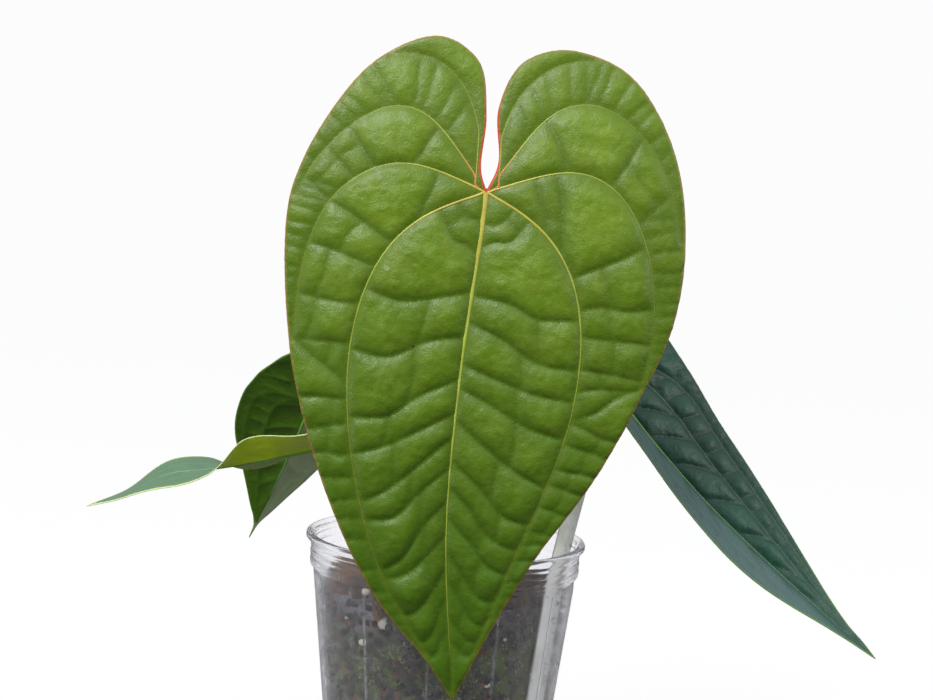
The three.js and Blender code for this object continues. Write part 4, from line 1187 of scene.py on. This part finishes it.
def make_mix():
    """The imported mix: its side lies close to the wall, lumpy and broken, and its top is crowned."""
    around, side_rows, rows = 300, 100, []
    foot, brim, crown, peak = 2.6, 88.5, 3.2, 92.4
    for z in np.linspace(foot, brim, side_rows):
        rows.append((wall_radius(z) - WALL - 2.4, z))
    edge = rows[-1][0]
    for share in np.linspace(0.985, 0.04, 34):
        rows.append((edge * share, brim + crown * (1 - share) ** 0.7))
    angles = np.linspace(0, 2 * np.pi, around, endpoint=False)
    depths = label_depth([z for _, z in rows]) - 1.4
    corners = []
    for i, (radius, z) in enumerate(rows):
        for angle in angles:
            at = Vector((radius * math.cos(angle), radius * math.sin(angle), z))
            lump = noise.fractal(at * 0.16, 0.8, 2.2, 4) * 0.9 + noise.fractal(at * 0.55, 0.6, 2.1, 3) * 0.5
            side = i < side_rows
            out = radius + (lump if side else 0)
            facing = math.sin(LABEL_TURN) * math.cos(angle) - math.cos(LABEL_TURN) * math.sin(angle)
            if facing > 0.7:
                out = min(out, (depths[i] + 0.3 * lump) / facing)
            corners.append((out * math.cos(angle), out * math.sin(angle), z + (0 if side else lump)))
    faces = tube_faces(len(rows), around)
    bottom, top = len(corners), len(corners) + 1
    corners += [(0, 0, foot), (0, 0, peak)]
    last = (len(rows) - 1) * around
    faces += [(bottom, (j + 1) % around, j) for j in range(around)]
    faces += [(top, last + j, last + (j + 1) % around) for j in range(around)]
    piece = mesh_object("mix_body", corners, faces)
    piece.data.materials.append(SOIL)
    return settle(piece, "bark_mix", "bark_mix")


make_mix()


def band(name, low, high, gap, share):
    """A hidden band just inside the wall, whose share says where crumbs lie against it."""
    around, rows = 96, 24
    corners, marks = [], []
    for z in np.linspace(low, high, rows):
        for angle in np.linspace(0, 2 * np.pi, around, endpoint=False):
            radius = wall_radius(z) - WALL - gap
            corners.append((radius * math.cos(angle), radius * math.sin(angle), z))
            by_label = LABEL_ARC[0] < math.degrees(angle) < LABEL_ARC[1]
            marks.append(0 if by_label else share(angle, z))
    piece = mesh_object(name, corners, tube_faces(rows, around))
    mark(piece, "share", marks)
    return piece


def disc(name):
    """A hidden disc over the top of the mix. Crumbs lie on it clear of the middle."""
    around, middle, fall, rim = 48, 92.2, 3.4, 52
    corners, faces = [(0, 0, middle)], []
    for ring_at, radius in enumerate((14, 28, 40, 51)):
        for j in range(around):
            angle = 2 * math.pi * j / around
            corners.append((radius * math.cos(angle), radius * math.sin(angle), middle - fall * radius / rim))
            if ring_at:
                a, b = 1 + (ring_at - 1) * around, 1 + ring_at * around
                faces.append((a + j, b + j, b + (j + 1) % around, a + (j + 1) % around))
    faces += [(0, 1 + j, 1 + (j + 1) % around) for j in range(around)]
    piece = mesh_object(name, corners, faces)
    mark(piece, "share", [1.0 if i > around else 0 for i in range(len(corners))])
    return piece


def patch(angle, z, seed):
    """A share from 0 to 1 that comes and goes over the wall in patches."""
    at = Vector((50 * math.cos(angle), 50 * math.sin(angle), z)) * 0.07 + Vector((seed, 0, 0))
    return max(0.0, min(1.0, noise.fractal(at, 0.8, 2.0, 3) * 2.2))


def strew(host, density, small, large, dent, sink, seed, slot_name, skin):
    """Turns a hidden surface into the crumbs that lie over it, between two sizes."""
    grow(host, SCATTER, Density=float(density), Smallest=tuple(v * MM for v in small),
         Largest=tuple(v * MM for v in large), Detail=2, Dent=dent, Sink=sink * MM, Seed=seed,
         Smooth=False, Material=skin)
    settle(host, slot_name)


for name, low, high, gap, share, density, small, large, sink, slot_name, skin in (
        ("wall_crumbs", 4, 87, 2.0, lambda a, z: 1.0, 45000, (0.7, 0.7, 0.7), (2.4, 2.0, 1.6), 0.0,
         "bark_mix", DARK_CRUMB),
        ("wall_bark", 4, 87, 2.2, lambda a, z: 1.0, 9000, (1.6, 0.8, 0.8), (4.2, 2.2, 1.8), 0.0,
         "bark", BARK),
        ("wall_moss", 4, 68, 1.5, lambda a, z: patch(a, z, 3.0), 90000, (0.25, 0.25, 0.25),
         (0.8, 0.6, 0.9), 0.3, "bark_mix", MOSS),
        ("wall_perlite", 6, 88, 1.6, lambda a, z: 0.2 + 0.8 * (z > 78), 5200, (0.4, 0.4, 0.4),
         (1.1, 1.0, 1.0), 0.0, "perlite", PERLITE)):
    host = band(name, low, high, gap, share)
    strew(host, density, small, large, 0.3, sink, len(name), slot_name, skin)

for name, density, small, large, slot_name, skin in (
        ("top_bark", 26000, (2.2, 1.4, 1.0), (6.5, 3.6, 2.4), "bark", BARK),
        ("top_crumbs", 60000, (0.8, 0.8, 0.6), (2.4, 2.0, 1.6), "bark_mix", DARK_CRUMB),
        ("top_perlite", 7000, (0.7, 0.7, 0.7), (2.1, 1.8, 1.8), "perlite", PERLITE)):
    strew(disc(name), density, small, large, 0.5, 0.0, 3 * len(name), slot_name, skin)


def lump(name, low, high, seed, skin, slot_name, node, dent):
    """A broken lump that fills a CAD node's box."""
    centre, half = (low + high) / 2 / MM, (high - low) / 2 / MM
    ball = bpy.data.meshes.new(name)
    shape = bmesh.new()
    bmesh.ops.create_icosphere(shape, subdivisions=4, radius=1.0)
    for v in shape.verts:
        push = noise.fractal(v.co * 1.6 + Vector((seed, 0, 0)), 0.7, 2.2, 4) * dent
        boxed = Vector([math.copysign(abs(c) ** 0.7, c) for c in v.co]).normalized().lerp(v.co, 0.4)
        v.co = boxed * (0.94 + push * 0.5)
    for v in shape.verts:
        v.co = Vector([centre[k] + v.co[k] * half[k] for k in range(3)]) * MM
    shape.to_mesh(ball)
    shape.free()
    ball.polygons.foreach_set("use_smooth", [True] * len(ball.polygons))
    piece = bpy.data.objects.new(name, ball)
    bpy.context.scene.collection.objects.link(piece)
    ball.materials.append(skin)
    settle(piece, slot_name, node)


for i in range(1, 11):
    lump(f"chip_{i}", *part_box(f"bark_chip_{i}"), i * 3.7, BARK, "bark", f"bark_chip_{i}", 0.35)
for i in range(1, 9):
    lump(f"grain_{i}", *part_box(f"perlite_{i}"), i * 5.1, PERLITE, "perlite", f"perlite_{i}", 0.3)

# ---- stem, roots and sheaths -----------------------------------------------------------
STEM_SKIN = crumb_finish("stem_bark", rgb(112, 96, 62), rgb(84, 70, 46), size=200.0)
ROOT_SKIN = crumb_finish("root_skin", rgb(190, 178, 146), rgb(150, 138, 108), size=240.0)
SHEATH_SKIN = crumb_finish("dry_sheath", rgb(150, 124, 86), rgb(104, 82, 54), size=180.0)

stem_low, stem_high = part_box("stem")
stem_radius, stem_foot, stem_top = stem_high.x / MM, stem_low.z / MM, stem_high.z / MM
profile = [(0, stem_foot), (stem_radius * 0.6, stem_foot), (stem_radius * 0.9, stem_foot + 3)]
for z in np.linspace(stem_foot + 5, stem_top - 1.2, 26):
    profile.append((stem_radius * (0.96 + 0.035 * math.sin(z * 1.3)), z))
profile += [(stem_radius * 0.85, stem_top - 0.2), (stem_radius * 0.7, stem_top), (0, stem_top)]
settle(turned("stem_piece", profile, STEM_SKIN, 64), "stem", "stem")

for i, degrees in enumerate((200, 262, 318, 20, 96)):
    reach = 20 + 3 * (i % 3)
    start = stem_radius + 1.2
    route = []
    for radius, z, swing in ((start, 96.5, 0), (start + 4, 97, 5), (reach - 4, 95, 12),
                             (reach, 90, 16), (reach + 2, 82, 18)):
        turn = math.radians(degrees + swing)
        route.append((radius * math.cos(turn), radius * math.sin(turn), z))
    points = evenly(route, 0.8)
    run = np.arange(len(points))
    radius = 1.6 * (1 + 0.05 * np.sin(run * 0.9 + i)) * np.linspace(1, 0.85, len(points))
    piece = swept(f"root_{i + 1}_piece", [points], [radius], ROOT_SKIN, 16)
    settle(piece, "root", f"root_{i + 1}")


def sheath(index, degrees, length, lean):
    """A dry papery scale round the foot of the stalks, with a ragged point."""
    foot_radius, foot_z = stem_radius + 0.75, stem_top - 1.7
    rows, columns = 26, 18
    corners = []
    for thick in (0.3, -0.3):
        for r in range(rows + 1):
            share = r / rows
            half = math.radians(46) * math.sqrt(max(0.0004, 1 - share ** 1.6))
            for c in range(columns + 1):
                part = 2 * c / columns - 1
                angle = math.radians(degrees) + half * part
                ripple = 0.3 * math.sin(part * 9 + share * 5 + index) * share
                radius = foot_radius + thick + ripple + 0.9 * share * part * part
                tilt = lean * share * share
                corners.append((radius * math.cos(angle) + tilt * math.cos(math.radians(degrees)),
                                radius * math.sin(angle) + tilt * math.sin(math.radians(degrees)),
                                foot_z + length * share * (1 - 0.02 * abs(math.sin(part * 14)))))
    piece = mesh_object(f"sheath_{index}_piece", corners, sheet_faces(rows, columns))
    piece.data.materials.append(SHEATH_SKIN)
    settle(piece, "sheath", f"sheath_{index}")


for index, degrees, length, lean in ((1, 232, 26, 3), (2, 128, 22, 5), (3, 350, 19, 4)):
    sheath(index, degrees, length, lean)


# ---- plant label -----------------------------------------------------------------------
def label_finish():
    made = Finish("label_card", Roughness=0.5, Specular_IOR_Level=0.4)
    tree = made.tree
    face = made.use(SLOW_DRIFT, Size=90.0, First=rgb(232, 233, 226), Second=rgb(214, 214, 204))["Colour"]
    edge = made.layer("far_side")
    inside_pot = spread(tree, place(tree, "ShaderNodeSeparateXYZ", {0: made.where}).outputs["Z"],
                        0.1, 0.12, 1.0, 0.15)
    grime = calc(tree, "MULTIPLY", made.use(SPECKS, Size=520.0, Cover=1.45)["Mask"],
                 spread(tree, edge, 0.45, 0.7, 0.1, 1.0), clamp=True)
    blots = calc(tree, "MULTIPLY", made.use(SPECKS, Size=240.0, Cover=1.35)["Mask"],
                 spread(tree, edge, 0.5, 0.72, 0.0, 1.0), clamp=True)
    # A plain grey laid over the far side of the label where it is inside the pot.
    far_side_grey = calc(tree, "MULTIPLY", spread(tree, edge, 0.55, 0.65, 0.0, 0.35), inside_pot)
    face = tint(tree, made.layer("smear"), face, rgb(150, 112, 92))
    face = tint(tree, far_side_grey, face, rgb(150, 150, 146))
    dirt = calc(tree, "MULTIPLY", calc(tree, "MAXIMUM", grime, blots), inside_pot)
    face = tint(tree, dirt, face, rgb(24, 22, 22))
    made.feed(Base_Color=face)
    made.bump(made.use(FINE_PEBBLE, Size=1200.0)["Height"], 0.05, 0.4)
    return made.material


def make_label():
    """A flat plastic label pushed down inside the wall, bent out over the lip."""
    width, thick, foot, top, point = 13.5, 0.8, 9.0, 141.0, 16.0
    side = np.array([math.cos(LABEL_TURN), math.sin(LABEL_TURN), 0.0])
    line = lambda z: np.hstack([curve_through(*LABEL_LINE, z), np.full((len(z), 1), LABEL_Y), z[:, None]])
    rows, columns = 264, 30
    z = np.linspace(top, foot, rows + 1)
    up = unit(line(z + 1) - line(z - 1))
    out = unit(np.cross(side, up))
    middle = line(z)
    reach = width / 2 * np.minimum(1, 0.15 + (z - foot) / point)
    part = np.linspace(-1, 1, columns + 1)
    corners, marks = [], {"far_side": [], "smear": []}
    for lift in (thick / 2, -thick / 2):
        for r in range(rows + 1):
            for t in part:
                pinch = 1 - 0.35 * max(0.0, (abs(t) - 0.92) / 0.08) ** 2
                wave = 0.12 * math.sin(z[r] * 0.05 + t)
                corners.append(middle[r] + side * reach[r] * t + out[r] * (lift * pinch + wave))
                marks["far_side"].append((t + 1) / 2)
                smear = math.exp(-((z[r] - 99) / 5) ** 2 - ((t - 0.55) / 0.3) ** 2)
                marks["smear"].append(0.75 * smear)
    turned_over = [face[::-1] for face in sheet_faces(rows, columns)]
    piece = mesh_object("label_piece", corners, turned_over)
    for name, values in marks.items():
        mark(piece, name, values)
    piece.data.materials.append(label_finish())
    settle(piece, "label_plastic", "plant_label")


make_label()
